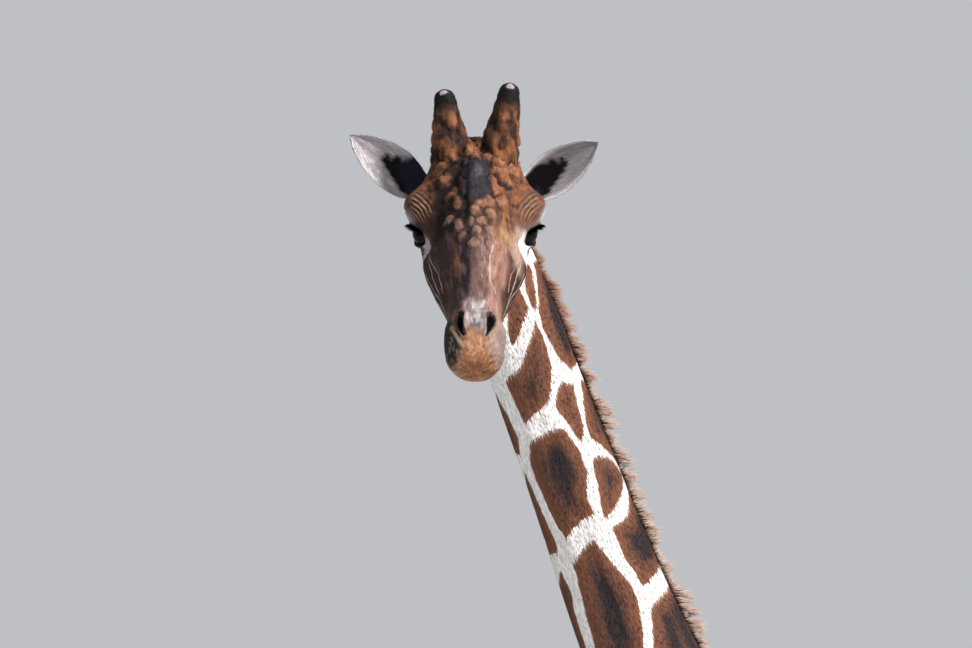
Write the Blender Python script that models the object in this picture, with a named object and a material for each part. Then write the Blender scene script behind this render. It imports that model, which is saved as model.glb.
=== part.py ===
"""A life-size standing adult bull reticulated giraffe, its head turned to its left.

The animal faces -Y, its left side is +X and +Z is up, in metres. Limbs, neck, trunk and head
are tubes: a closed outline whose widths and heights change along an axis. Thin cuts part the
tubes into the pieces that a person would name.
"""

import math

import bmesh
import bpy
import numpy as np
from mathutils import Matrix, Vector

GAP = 0.0003  # between touching pieces
CUT_GROWTH = 0.0004  # how much larger a cutter is than the piece that fills its cut

# Stance, in a frame whose origin is on the floor under the middle of the trunk.
NECK_TOP = (0.06, -1.66, 4.654)
PLACE = (-0.096, 0.416, 0.0)  # puts the origin below the middle of the whole figure
HEAD_YAW = math.radians(70)  # the turn of the head from straight ahead to the animal's left
HEAD_PITCH = math.radians(34)  # the nose below the level of the poll
NECK_TOP_IN_HEAD = (-0.20, -0.07)  # along the head and up from the middle between the eyes

# Where the long tubes are parted.
HEAD_CUT = 0.28  # along the neck from its top
NECK_MIDDLE_CUT = 1.06
NECK_ROOT_CUT = 1.86
KNEE_CUT = 1.0
HOOF_TOP = 0.125

ROUND_TRUNK = 26
ROUND_NECK = 20
ROUND_HEAD = 26
ROUND_LEG = 12
ROUND_HORN = 14

EYE_RADIUS = 0.027
EYE_OUT = 0.104  # from the middle plane to the middle of the eyeball

COAT = (0.115, 0.038, 0.022)
PALE = (0.76, 0.72, 0.68)
RUST = (0.30, 0.11, 0.045)
HORN_DARK = (0.03, 0.024, 0.024)
MANE_BROWN = (0.22, 0.10, 0.055)
EYE_DARK = (0.006, 0.005, 0.005)
HOOF_BROWN = (0.09, 0.07, 0.055)


def clear_scene():
    for item in list(bpy.data.objects):
        bpy.data.objects.remove(item)


def finish(name, colour, roughness):
    """A plain material of one colour."""
    material = bpy.data.materials.new(name)
    material.use_nodes = True
    shader = material.node_tree.nodes["Principled BSDF"]
    shader.inputs["Base Color"].default_value = (*colour, 1.0)
    shader.inputs["Roughness"].default_value = roughness
    shader.inputs["Metallic"].default_value = 0.0
    material.diffuse_color = (*colour, 1.0)
    return material


def flow(stations, values, at):
    """A smooth curve through the values: cubic pieces whose slopes come from the neighbours."""
    x = np.asarray(stations, float)
    y = np.asarray(values, float)
    at = np.asarray(at, float)
    slope = np.gradient(y, x, axis=0)
    i = np.clip(np.searchsorted(x, at, side="right") - 1, 0, len(x) - 2)
    step = x[i + 1] - x[i]
    u = (at - x[i]) / step
    if y.ndim > 1:
        step, u = step[:, None], u[:, None]
    start = (1 + 2 * u) * (1 - u) ** 2 * y[i] + u * (1 - u) ** 2 * step * slope[i]
    end = u * u * (3 - 2 * u) * y[i + 1] + u * u * (u - 1) * step * slope[i + 1]
    return start + end


def oval(count, half_width, rise, drop, power):
    """Across and up offsets of a superellipse with one height above and another below."""
    angle = np.arange(count) / count * 2 * np.pi
    across, up = np.sin(angle), np.cos(angle)
    column = [np.asarray(value, float)[:, None] for value in (half_width, rise, drop, power)]
    half_width, rise, drop, power = column
    height = np.where(up > 0, rise, drop)
    reach = (np.abs(across / half_width) ** power + np.abs(up / height) ** power) ** (-1 / power)
    return reach * across, reach * up


def swelling(swellings, first, second, third):
    """The sum of soft round swellings, each a bell about its own centre."""
    total = np.zeros(np.broadcast(first, second, third).shape)
    for a, b, c, reach_a, reach_b, reach_c, height in swellings:
        far = ((first - a) / reach_a) ** 2 + ((second - b) / reach_b) ** 2 + ((third - c) / reach_c) ** 2
        total += height * np.exp(-far)
    return total


def closed_tube(name, rings, material, hidden=False, plane_ends=False):
    """A solid through closed rings of points, each end closed by one face or by a fan."""
    count, around, _ = rings.shape
    mesh = bmesh.new()
    rows = [[mesh.verts.new(point) for point in ring] for ring in rings.tolist()]
    for row, following in zip(rows, rows[1:]):
        for k in range(around):
            after = (k + 1) % around
            mesh.faces.new((row[k], row[after], following[after]))
            mesh.faces.new((row[k], following[after], following[k]))
    for row, ring in ((rows[0], rings[0]), (rows[-1], rings[-1])):
        if plane_ends:
            mesh.faces.new(row)
            continue
        middle = mesh.verts.new(ring.mean(axis=0).tolist())
        for k in range(around):
            mesh.faces.new((row[k], row[(k + 1) % around], middle))
    bmesh.ops.recalc_face_normals(mesh, faces=mesh.faces)
    data = bpy.data.meshes.new(name)
    mesh.to_mesh(data)
    mesh.free()
    data.shade_smooth()
    data.set_sharp_from_angle(angle=math.radians(40))
    data.materials.append(material)
    item = bpy.data.objects.new(name, data)
    bpy.context.scene.collection.objects.link(item)
    if hidden:
        item.hide_render = True
        item.display_type = "WIRE"
    return item


def combine(item, other, operation):
    """A live Boolean on item. The other object is a hidden tool."""
    modifier = item.modifiers.new(operation.lower() + "_" + other.name, "BOOLEAN")
    modifier.operation = operation
    modifier.object = other
    modifier.solver = "EXACT"


def stations_between(stations, start, end):
    """The stations inside a stretch, with its two ends."""
    inside = [value for value in stations if min(start, end) + 0.004 < value < max(start, end) - 0.004]
    return np.array(sorted([start, *inside, end]))


# The prisms that part the legs from the trunk.
PRISM_INNER = {"fore": 0.085, "hind": 0.06}
PRISM_OUTER = 0.5
PRISM_ROOM = 0.014
PRISM_TOP = {"fore": 0.03, "hind": 0.09}  # how far below a leg's own top its prism ends
PRISM_LEVELS = 13
KNEE_OVERLAP = 0.05

# Trunk: sections square to Y. The back falls from the withers to the tail.
TRUNK_Y = (-1.01, -0.98, -0.90, -0.78, -0.60, -0.40, -0.15, 0.15, 0.45, 0.70, 0.87, 0.97, 1.00)
TRUNK_HALF_WIDTH = (0.03, 0.085, 0.155, 0.205, 0.245, 0.27, 0.30, 0.325, 0.315, 0.275, 0.20, 0.10, 0.04)
TRUNK_TOP = (2.50, 2.60, 2.72, 2.86, 3.00, 3.06, 3.00, 2.86, 2.72, 2.61, 2.53, 2.45, 2.38)
TRUNK_BOTTOM = (2.44, 2.35, 2.24, 2.12, 2.01, 1.96, 1.94, 1.935, 1.985, 2.07, 2.15, 2.22, 2.30)
TRUNK_WIDEST = 0.44  # the widest level, as a share of the height
TRUNK_POWER = 2.15
TRUNK_STATIONS = np.linspace(TRUNK_Y[0], TRUNK_Y[-1], 20)
# Swellings: out, along the body, up, their reach in those three ways, and their height.
TRUNK_SWELLINGS = (
    (0.23, -0.50, 2.36, 0.12, 0.20, 0.42, 0.052),  # shoulder
    (0.25, -0.58, 2.16, 0.14, 0.15, 0.16, 0.030),  # point of the shoulder
    (0.26, 0.64, 2.24, 0.14, 0.25, 0.34, 0.055),  # haunch
    (0.10, -0.30, 3.00, 0.10, 0.22, 0.10, 0.030),  # withers
)


def trunk_rings(at, grow=0.0):
    """Rings of the barrel: narrow and high in front, round behind."""
    at = np.asarray(at, float)
    half_width = flow(TRUNK_Y, TRUNK_HALF_WIDTH, at) + grow
    top = flow(TRUNK_Y, TRUNK_TOP, at) + grow
    bottom = flow(TRUNK_Y, TRUNK_BOTTOM, at) - grow
    middle = bottom + (top - bottom) * TRUNK_WIDEST
    power = np.full(len(at), TRUNK_POWER)
    across, up = oval(ROUND_TRUNK, half_width, top - middle, middle - bottom, power)
    y = np.broadcast_to(at[:, None], across.shape)
    level = up + middle[:, None]
    swell = swelling(TRUNK_SWELLINGS, np.abs(across), y, level)
    stretch = 1 + swell / np.hypot(across, up)
    return np.stack((across * stretch, y, up * stretch + middle[:, None]), axis=-1)


# Neck: a path from the head down to the middle of the chest.
NECK_PATH_AT = (-0.10, 0.0, 0.5, 1.0, 1.5, 1.95, 2.35)
NECK_PATH = (
    (0.062, -1.70, 4.746),
    NECK_TOP,
    (0.035, -1.465, 4.195),
    (0.010, -1.268, 3.736),
    (0.0, -1.035, 3.294),
    (0.0, -0.76, 2.938),
    (0.0, -0.46, 2.674),
)
NECK_SIZE_AT = (-0.10, 0.0, 0.15, 0.37, 0.77, 1.06, 1.40, 1.65, 1.86, 2.10, 2.35)
NECK_HALF_WIDTH = (0.058, 0.070, 0.078, 0.080, 0.088, 0.096, 0.116, 0.142, 0.172, 0.20, 0.20)
NECK_NAPE = (0.070, 0.086, 0.094, 0.096, 0.108, 0.126, 0.165, 0.215, 0.275, 0.325, 0.33)
NECK_THROAT = (0.070, 0.086, 0.094, 0.098, 0.110, 0.128, 0.170, 0.240, 0.345, 0.48, 0.52)
NECK_TWIST = math.radians(30)  # at the very top, towards the turned head
NECK_STATIONS = (-0.08, 0.0, 0.10, 0.19, 0.40, 0.55, 0.72, 0.90, 1.20, 1.35, 1.50, 1.62, 1.74)


def neck_frames(at):
    """The path's points, the way down it, the animal's left and the nape's way at each place."""
    at = np.asarray(at, float)
    step = 0.01
    centre = flow(NECK_PATH_AT, NECK_PATH, at)
    down = flow(NECK_PATH_AT, NECK_PATH, at + step) - flow(NECK_PATH_AT, NECK_PATH, at - step)
    down /= np.linalg.norm(down, axis=1, keepdims=True)
    turn = NECK_TWIST * np.clip(1 - at / 0.45, 0, 1) ** 2
    left = np.stack((np.cos(turn), np.sin(turn), np.zeros_like(turn)), axis=1)
    left -= down * np.sum(left * down, axis=1, keepdims=True)
    left /= np.linalg.norm(left, axis=1, keepdims=True)
    nape = np.cross(left, down)
    nape *= np.where(nape[:, 1:2] < 0, -1.0, 1.0)
    return centre, down, left, nape


def neck_rings(at, grow=0.0):
    """Rings of the neck, deeper from nape to throat than from side to side."""
    at = np.asarray(at, float)
    centre, _, left, nape = neck_frames(at)
    half_width = flow(NECK_SIZE_AT, NECK_HALF_WIDTH, at) + grow
    rise = flow(NECK_SIZE_AT, NECK_NAPE, at) + grow
    drop = flow(NECK_SIZE_AT, NECK_THROAT, at) + grow
    across, up = oval(ROUND_NECK, half_width, rise, drop, np.full(len(at), 2.2))
    return centre[:, None] + across[..., None] * left[:, None] + up[..., None] * nape[:, None]


MANE_AT = (0.04, 0.10, 0.30, 0.80, 1.30, 1.60, 1.78)
MANE_HEIGHT = (0.020, 0.036, 0.044, 0.050, 0.054, 0.042, 0.018)
MANE_HALF_WIDTH = (0.016, 0.021, 0.025, 0.028, 0.029, 0.026, 0.018)
MANE_ROOT = 0.016  # how deep the uncut ridge reaches into the neck
ROUND_MANE = 10


def mane_rings(at):
    """Rings of the upright brush of hair on the nape, an egg on end."""
    centre, _, left, nape = neck_frames(at)
    foot = centre + nape * flow(NECK_SIZE_AT, NECK_NAPE, at)[:, None]
    rise = flow(MANE_AT, MANE_HEIGHT, at)
    half_width = flow(MANE_AT, MANE_HALF_WIDTH, at)
    across, up = oval(ROUND_MANE, half_width, rise, np.full(len(at), MANE_ROOT), np.full(len(at), 2.0))
    return foot[:, None] + across[..., None] * left[:, None] + up[..., None] * nape[:, None]


# Legs: level sections down each leg, with the left leg's places across and along the body.
FORE_Z = (
    2.80, 2.72, 2.55, 2.30, 2.08, 1.88, 1.68, 1.40, 1.16, 1.05, 0.96, 0.86, 0.60, 0.36, 0.27, 0.20,
    0.125,
)
FORE_X = (
    0.16, 0.165, 0.18, 0.195, 0.20, 0.20, 0.195, 0.19, 0.185, 0.185, 0.185, 0.185, 0.185, 0.185,
    0.185, 0.186, 0.187,
)
FORE_Y = (
    -0.42, -0.43, -0.46, -0.50, -0.49, -0.46, -0.455, -0.46, -0.465, -0.472, -0.465, -0.46, -0.46,
    -0.46, -0.462, -0.48, -0.50,
)
FORE_ACROSS = (
    0.02, 0.05, 0.085, 0.10, 0.10, 0.088, 0.074, 0.060, 0.056, 0.064, 0.060, 0.046, 0.040, 0.043,
    0.054, 0.060, 0.082,
)
FORE_ALONG = (
    0.04, 0.10, 0.18, 0.22, 0.19, 0.145, 0.108, 0.080, 0.068, 0.076, 0.068, 0.053, 0.047, 0.053,
    0.066, 0.068, 0.100,
)

HIND_Z = (
    2.55, 2.48, 2.34, 2.12, 1.92, 1.72, 1.50, 1.32, 1.18, 1.08, 0.99, 0.88, 0.60, 0.36, 0.27, 0.20,
    0.125,
)
HIND_X = (
    0.12, 0.135, 0.165, 0.19, 0.195, 0.195, 0.19, 0.188, 0.187, 0.187, 0.187, 0.187, 0.187, 0.187,
    0.187, 0.188, 0.19,
)
HIND_Y = (
    0.72, 0.71, 0.68, 0.64, 0.63, 0.65, 0.70, 0.755, 0.79, 0.80, 0.79, 0.775, 0.765, 0.755, 0.75,
    0.735, 0.712,
)
HIND_ACROSS = (
    0.02, 0.055, 0.095, 0.115, 0.105, 0.088, 0.069, 0.056, 0.054, 0.056, 0.053, 0.044, 0.040,
    0.043, 0.054, 0.060, 0.080,
)
HIND_ALONG = (
    0.05, 0.12, 0.20, 0.235, 0.205, 0.160, 0.118, 0.090, 0.084, 0.088, 0.076, 0.060, 0.051, 0.055,
    0.067, 0.068, 0.097,
)

# side: +1 left, -1 right. step: how far forward the foot stands from square.
LEGS = {
    "fore_left": (FORE_Z, FORE_X, FORE_Y, FORE_ACROSS, FORE_ALONG, 1, 0.05),
    "fore_right": (FORE_Z, FORE_X, FORE_Y, FORE_ACROSS, FORE_ALONG, -1, -0.05),
    "hind_left": (HIND_Z, HIND_X, HIND_Y, HIND_ACROSS, HIND_ALONG, 1, -0.07),
    "hind_right": (HIND_Z, HIND_X, HIND_Y, HIND_ACROSS, HIND_ALONG, -1, 0.06),
}
STEP_TOP = 2.1  # the level above which a leg doesn't swing with its foot


def leg_middle(leg, at):
    """The middle of a leg at a height, swung forward or back with its foot."""
    levels, out, along, _, _, side, step = LEGS[leg]
    swing = np.clip(1 - np.asarray(at, float) / STEP_TOP, 0, 1)
    x = side * flow(levels[::-1], out[::-1], at)
    y = flow(levels[::-1], along[::-1], at) - step * swing
    return x, y


def leg_rings(leg, at, grow=0.0):
    """Level rings down a leg."""
    at = np.asarray(at, float)
    levels, _, _, across_size, along_size, side, _ = LEGS[leg]
    x, y = leg_middle(leg, at)
    half_across = flow(levels[::-1], across_size[::-1], at) + grow
    half_along = flow(levels[::-1], along_size[::-1], at) + grow
    across, along = oval(ROUND_LEG, half_across, half_along, half_along, np.full(len(at), 2.1))
    z = np.broadcast_to(at[:, None], across.shape)
    return np.stack((side * across + x[:, None], y[:, None] - along, z), axis=-1)


# Each foot has two toes, and each toe its hoof, flat below and on the side of the other toe.
TOE_HALF_WIDTH = 0.048
TOE_HALF_LENGTH = 0.118
TOE_LEAN = 0.022  # how far the sole's middle lies ahead of the hoof's top
CLEFT = 0.003  # half the gap between the toes
ROUND_TOE = 12
HOOF_LEVELS = (0.0, 0.012, 0.05, 0.09, HOOF_TOP)
HOOF_TAPER = (0.97, 1.0, 0.965, 0.90, 0.80)


def hoof_rings(leg, toe):
    """Level rings of one hoof: an oval, flattened where it faces the other toe."""
    levels = np.array(HOOF_LEVELS)
    x, y = leg_middle(leg, np.array([HOOF_TOP]))
    taper = np.array(HOOF_TAPER)
    power = np.full(len(levels), 2.4)
    half_width, half_length = TOE_HALF_WIDTH * taper, TOE_HALF_LENGTH * taper
    across, along = oval(ROUND_TOE, half_width, half_length, half_length, power)
    lean = TOE_LEAN * (1 - levels / HOOF_TOP)[:, None]
    # The tip of the toe turns in towards the middle of the foot.
    inward = across - np.clip(along, 0, None) * 0.12 + TOE_HALF_WIDTH * 0.94
    px = x[0] + toe * (np.maximum(inward, 0.0) + CLEFT)
    py = y[0] - lean - along
    z = np.broadcast_to(levels[:, None], across.shape)
    return np.stack((px, py, z), axis=-1)


# Tail: off the rump and down, ending in a long tuft.
TAIL_AT = (0.0, 0.10, 0.20, 0.45, 0.85, 1.50)
TAIL_PATH = (
    (0.0, 0.90, 2.43),
    (0.0, 0.995, 2.405),
    (0.0, 1.055, 2.32),
    (0.0, 1.085, 2.07),
    (0.0, 1.080, 1.67),
    (0.0, 1.055, 1.02),
)
TAIL_SIZE_AT = (0.0, 0.15, 0.40, 0.70, 0.86, 1.0, 1.15, 1.35, 1.46, 1.50)
TAIL_RADIUS = (0.045, 0.038, 0.026, 0.018, 0.017, 0.032, 0.045, 0.040, 0.022, 0.008)
TAIL_TUFT_AT = 0.84
ROUND_TAIL = 10


def tail_rings(at):
    """Round rings down the tail and its tuft."""
    at = np.asarray(at, float)
    step = 0.01
    centre = flow(TAIL_AT, TAIL_PATH, at)
    down = flow(TAIL_AT, TAIL_PATH, at + step) - flow(TAIL_AT, TAIL_PATH, at - step)
    down /= np.linalg.norm(down, axis=1, keepdims=True)
    left = np.broadcast_to(np.array([1.0, 0.0, 0.0]), down.shape)
    back = np.cross(left, down)
    radius = flow(TAIL_SIZE_AT, TAIL_RADIUS, at)
    across, up = oval(ROUND_TAIL, radius, radius, radius, np.full(len(at), 2.0))
    return centre[:, None] + across[..., None] * left[:, None] + up[..., None] * back[:, None]


# Head: along the head from the poll to the nose, out to its left, and up from the eyes' level.
HEAD_AT = (
    -0.270, -0.250, -0.21, -0.16, -0.10, -0.04, 0.02, 0.08, 0.15, 0.22, 0.28, 0.33, 0.37, 0.40,
    0.414,
)
HEAD_HALF_WIDTH = (
    0.020, 0.055, 0.090, 0.108, 0.117, 0.118, 0.111, 0.103, 0.086, 0.062, 0.057, 0.064, 0.058,
    0.044, 0.016,
)
HEAD_WIDEST = (
    0.00, 0.00, -0.01, -0.01, 0.0, 0.0, -0.01, -0.038, -0.052, -0.062, -0.066, -0.068, -0.074,
    -0.084, -0.090,
)
HEAD_TOP = (
    0.025, 0.065, 0.112, 0.138, 0.136, 0.120, 0.098, 0.078, 0.054, 0.030, 0.010, -0.010, -0.030,
    -0.058, -0.082,
)
HEAD_BOTTOM = (
    -0.03, -0.085, -0.150, -0.188, -0.200, -0.196, -0.182, -0.168, -0.156, -0.148, -0.146, -0.147,
    -0.138, -0.122, -0.104,
)
HEAD_POWER = (2.0, 2.0, 2.1, 2.2, 2.3, 2.3, 2.2, 2.1, 2.1, 2.2, 2.3, 2.3, 2.3, 2.2, 2.0)
# Swellings: along, out, up, their reach in those three ways, and their height.
HEAD_SWELLINGS = (
    (-0.035, 0.118, 0.041, 0.050, 0.044, 0.036, 0.038),  # brow over the left eye
    (-0.035, -0.118, 0.041, 0.050, 0.044, 0.036, 0.038),  # brow over the right eye
    (-0.030, 0.006, 0.130, 0.036, 0.030, 0.060, 0.026),  # the median horn
    (-0.130, 0.052, 0.135, 0.045, 0.036, 0.050, 0.014),  # root of the left ossicone
    (-0.130, -0.052, 0.135, 0.045, 0.036, 0.050, 0.014),  # root of the right ossicone
)


def head_place(along, out, up):
    """From the head's own frame to the world."""
    toward = np.array([math.sin(HEAD_YAW), -math.cos(HEAD_YAW), 0.0])
    leftward = np.array([math.cos(HEAD_YAW), math.sin(HEAD_YAW), 0.0])
    upright = np.array([0.0, 0.0, 1.0])
    forward = math.cos(HEAD_PITCH) * toward - math.sin(HEAD_PITCH) * upright
    crown = math.sin(HEAD_PITCH) * toward + math.cos(HEAD_PITCH) * upright
    eyes = np.array(NECK_TOP) - forward * NECK_TOP_IN_HEAD[0] - crown * NECK_TOP_IN_HEAD[1]
    along, out, up = (np.asarray(value, float)[..., None] for value in (along, out, up))
    return eyes + along * forward + out * leftward + up * crown


def head_rings(at, grow=0.0):
    """Rings from the poll to the nose, with the brows and the bony swellings pushed out."""
    at = np.asarray(at, float)
    half_width = flow(HEAD_AT, HEAD_HALF_WIDTH, at) + grow
    middle = flow(HEAD_AT, HEAD_WIDEST, at)
    rise = flow(HEAD_AT, HEAD_TOP, at) - middle + grow
    drop = middle - flow(HEAD_AT, HEAD_BOTTOM, at) + grow
    out, up = oval(ROUND_HEAD, half_width, rise, drop, flow(HEAD_AT, HEAD_POWER, at))
    along = np.broadcast_to(at[:, None], out.shape)
    swell = swelling(HEAD_SWELLINGS, along, out, up + middle[:, None])
    stretch = 1 + swell / np.hypot(out, up)
    return head_place(along, out * stretch, up * stretch + middle[:, None])


# Ossicones: foot and tip of each in the head's frame, with a blunt bald end.
OSSICONES = {
    "left": ((-0.118, 0.046, 0.098), (-0.196, 0.075, 0.252)),
    "right": ((-0.118, -0.046, 0.098), (-0.190, -0.066, 0.240)),
}
OSSICONE_AT = (0.0, 0.3, 0.5, 0.7, 0.84, 0.92, 0.97, 1.0)
OSSICONE_RADIUS = (0.046, 0.040, 0.034, 0.028, 0.0248, 0.0222, 0.0165, 0.006)


def ossicone_rings(side):
    """Round rings from the foot, inside the skull, to the knob."""
    foot, tip = (np.array(head_place(*point)) for point in OSSICONES[side])
    at = np.array(OSSICONE_AT)
    axis = (tip - foot) / np.linalg.norm(tip - foot)
    first = np.cross(axis, (0.0, 0.0, 1.0))
    first = np.cross(axis, first) if np.linalg.norm(first) < 0.1 else first
    first /= np.linalg.norm(first)
    second = np.cross(axis, first)
    radius = np.array(OSSICONE_RADIUS)
    across, up = oval(ROUND_HORN, radius, radius, radius, np.full(len(at), 2.0))
    centre = foot + at[:, None] * (tip - foot)
    return centre[:, None] + across[..., None] * first + up[..., None] * second


# Ears: a leaf-shaped cup from its root in the head's frame to its tip.
EARS = {
    "left": ((-0.145, 0.088, 0.002), (-0.185, 0.256, 0.114)),
    "right": ((-0.145, -0.088, 0.002), (-0.190, -0.260, 0.128)),
}
EAR_AT = (0.0, 0.12, 0.25, 0.40, 0.55, 0.70, 0.83, 0.93, 1.0)
EAR_HALF_WIDTH = (0.022, 0.029, 0.040, 0.0465, 0.046, 0.039, 0.028, 0.016, 0.004)
EAR_CUP = (0.026, 0.028, 0.026, 0.023, 0.019, 0.014, 0.009, 0.005, 0.002)
EAR_THICK = 0.009
EAR_EDGE = 0.004
EAR_STEPS = 4


def ear_rings(side):
    """Crescent rings: the open side curves in, the back runs round it a skin's thickness away."""
    root, tip = (np.array(head_place(*point)) for point in EARS[side])
    at = np.array(EAR_AT)
    axis = (tip - root) / np.linalg.norm(tip - root)
    toward = np.array([math.sin(HEAD_YAW), -math.cos(HEAD_YAW), -0.05])
    opening = toward - axis * np.dot(toward, axis)
    opening /= np.linalg.norm(opening)
    across = np.cross(axis, opening)
    share = np.linspace(-1, 1, 2 * EAR_STEPS + 1)
    width = np.array(EAR_HALF_WIDTH)[:, None]
    cup = np.array(EAR_CUP)[:, None]
    thick = np.minimum(EAR_THICK, width * 0.9)
    front = -cup * (1 - share**2)
    back = front - EAR_EDGE - (thick - EAR_EDGE) * (1 - share**2)
    ring_across = np.concatenate((width * share, width * share[::-1]), axis=1)
    ring_open = np.concatenate((front, back[:, ::-1]), axis=1)
    centre = root + at[:, None] * (tip - root)
    return centre[:, None] + ring_across[..., None] * across + ring_open[..., None] * opening


def eyeball(name, side, material, radius, hidden=False):
    """A ball in its socket."""
    data = bpy.data.meshes.new(name)
    mesh = bmesh.new()
    bmesh.ops.create_uvsphere(mesh, u_segments=12, v_segments=8, radius=radius)
    middle = Vector(head_place(0.0, side * EYE_OUT, 0.0).tolist())
    bmesh.ops.transform(mesh, matrix=Matrix.Translation(middle), verts=mesh.verts)
    mesh.to_mesh(data)
    mesh.free()
    data.shade_smooth()
    data.materials.append(material)
    item = bpy.data.objects.new(name, data)
    bpy.context.scene.collection.objects.link(item)
    if hidden:
        item.hide_render = True
        item.display_type = "WIRE"
    return item


def build_head(coat, horn, dark):
    """The head with the top of the neck, its eyes, ears and ossicones."""
    along = np.linspace(0, 1, 27)
    at = HEAD_AT[0] + (HEAD_AT[-1] - HEAD_AT[0]) * (along - 0.06 * np.sin(2 * np.pi * along))
    head = closed_tube("head", head_rings(at), coat)
    neck_top = neck_rings(stations_between(NECK_STATIONS, -0.08, HEAD_CUT))
    throat = closed_tube("tool_throat", neck_top, coat, True)
    combine(head, throat, "UNION")
    skull = closed_tube("tool_skull", head_rings(at, CUT_GROWTH), coat, True)
    for side, name in ((1, "left"), (-1, "right")):
        eyeball("eye_" + name, side, dark, EYE_RADIUS)
        socket = eyeball("tool_socket_" + name, side, dark, EYE_RADIUS + CUT_GROWTH, True)
        combine(head, socket, "DIFFERENCE")
        ear = closed_tube("ear_" + name, ear_rings(name), coat)
        combine(ear, skull, "DIFFERENCE")
        ossicone = closed_tube("ossicone_" + name, ossicone_rings(name), horn)
        combine(ossicone, skull, "DIFFERENCE")
    return skull


def build_neck(coat, brush, skull):
    """The neck in two lengths, with its mane."""
    upper = stations_between(NECK_STATIONS, HEAD_CUT + GAP, NECK_MIDDLE_CUT)
    lower = stations_between(NECK_STATIONS, NECK_MIDDLE_CUT + GAP, NECK_ROOT_CUT)
    closed_tube("neck_upper", neck_rings(upper), coat)
    closed_tube("neck_lower", neck_rings(lower), coat)
    whole = np.array(sorted({-0.08, *NECK_STATIONS, HEAD_CUT, NECK_MIDDLE_CUT, NECK_ROOT_CUT}))
    nape = closed_tube("tool_nape", neck_rings(whole, CUT_GROWTH), coat, True)
    mane = closed_tube("mane", mane_rings(np.linspace(MANE_AT[0], MANE_AT[-1], 17)), brush)
    combine(mane, nape, "DIFFERENCE")
    combine(mane, skull, "DIFFERENCE")


def fused_trunk(name, coat, hidden):
    """The trunk with the root of the neck and the tops of the legs, all one body."""
    trunk = closed_tube(name, trunk_rings(TRUNK_STATIONS), coat, hidden)
    for tool in ("root", *LEGS):
        combine(trunk, bpy.data.objects["tool_" + tool], "UNION")
    return trunk


def leg_prism(name, leg, material, grow, hidden):
    """A prism from inside the trunk outwards: a leg's outline from the side, with room round it."""
    levels, *_, side, _ = LEGS[leg]
    at = np.linspace(KNEE_CUT, levels[0] - PRISM_TOP[leg[:4]], PRISM_LEVELS)
    _, y = leg_middle(leg, at)
    half = flow(levels[::-1], LEGS[leg][4][::-1], at) + PRISM_ROOM + grow
    at[0] -= 2 * KNEE_OVERLAP if hidden else 0.0
    at[-1] += grow
    outline_y = np.concatenate((y - half, (y + half)[::-1]))
    outline_z = np.concatenate((at, at[::-1]))
    inner = PRISM_INNER[leg[:4]] - grow
    outline = np.stack((np.zeros_like(outline_y), outline_y, outline_z), axis=1)
    rings = np.stack((outline + (side * inner, 0, 0), outline + (side * PRISM_OUTER, 0, 0)))
    return closed_tube(name, rings, material, hidden, plane_ends=True)


def build_trunk_and_legs(coat, horn):
    """The trunk, parted from its four legs, each on two hooves."""
    root = neck_rings(stations_between((1.98, 2.1), NECK_ROOT_CUT + GAP, 2.25))
    closed_tube("tool_root", root, coat, True)
    for leg, sizes in LEGS.items():
        whole = stations_between(sizes[0], KNEE_CUT - KNEE_OVERLAP, sizes[0][0])
        closed_tube("tool_" + leg, leg_rings(leg, whole), coat, True)
    fused = fused_trunk("tool_fused", coat, True)
    trunk = fused_trunk("trunk", coat, False)
    for leg, sizes in LEGS.items():
        upper = leg_prism("leg_" + leg + "_upper", leg, coat, 0.0, False)
        combine(upper, fused, "INTERSECT")
        combine(trunk, leg_prism("tool_prism_" + leg, leg, coat, CUT_GROWTH, True), "DIFFERENCE")
        lower = stations_between(sizes[0], HOOF_TOP + GAP, KNEE_CUT - CUT_GROWTH)
        closed_tube("leg_" + leg + "_lower", leg_rings(leg, lower), coat)
        for toe, name in ((sizes[5], "outer"), (-sizes[5], "inner")):
            closed_tube("hoof_" + leg + "_" + name, hoof_rings(leg, toe), horn)


def build_tail(coat, brush):
    """The tail and its tuft."""
    rump = closed_tube("tool_rump", trunk_rings(TRUNK_STATIONS, CUT_GROWTH), coat, True)
    tail = closed_tube("tail", tail_rings(stations_between(TAIL_AT, 0.0, TAIL_TUFT_AT)), coat)
    combine(tail, rump, "DIFFERENCE")
    tuft = stations_between(TAIL_SIZE_AT, TAIL_TUFT_AT + GAP, TAIL_AT[-1])
    closed_tube("tail_tuft", tail_rings(tuft), brush)


def main():
    clear_scene()
    coat = finish("coat", COAT, 0.75)
    brush = finish("mane_hair", MANE_BROWN, 0.8)
    rust = finish("horn_skin", RUST, 0.7)
    dark = finish("eye", EYE_DARK, 0.1)
    hoof = finish("hoof", HOOF_BROWN, 0.55)
    skull = build_head(coat, rust, dark)
    build_neck(coat, brush, skull)
    build_trunk_and_legs(coat, hoof)
    build_tail(coat, brush)
    for item in bpy.data.objects:
        item.data.transform(Matrix.Translation(PLACE))


main()
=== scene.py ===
# %% [markdown]
# # A bull reticulated giraffe
#
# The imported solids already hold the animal's size and stance. This file gives it its looks:
# one seamless skin over all the flesh, a coat of short hair in thin tufts, the brush of a mane,
# a long tail tuft, wet eyes and horn hooves. The skin is worked out with numpy as tubes, fused,
# and smoothed where the tubes meet.

# %% Load the frame
import math

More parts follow.
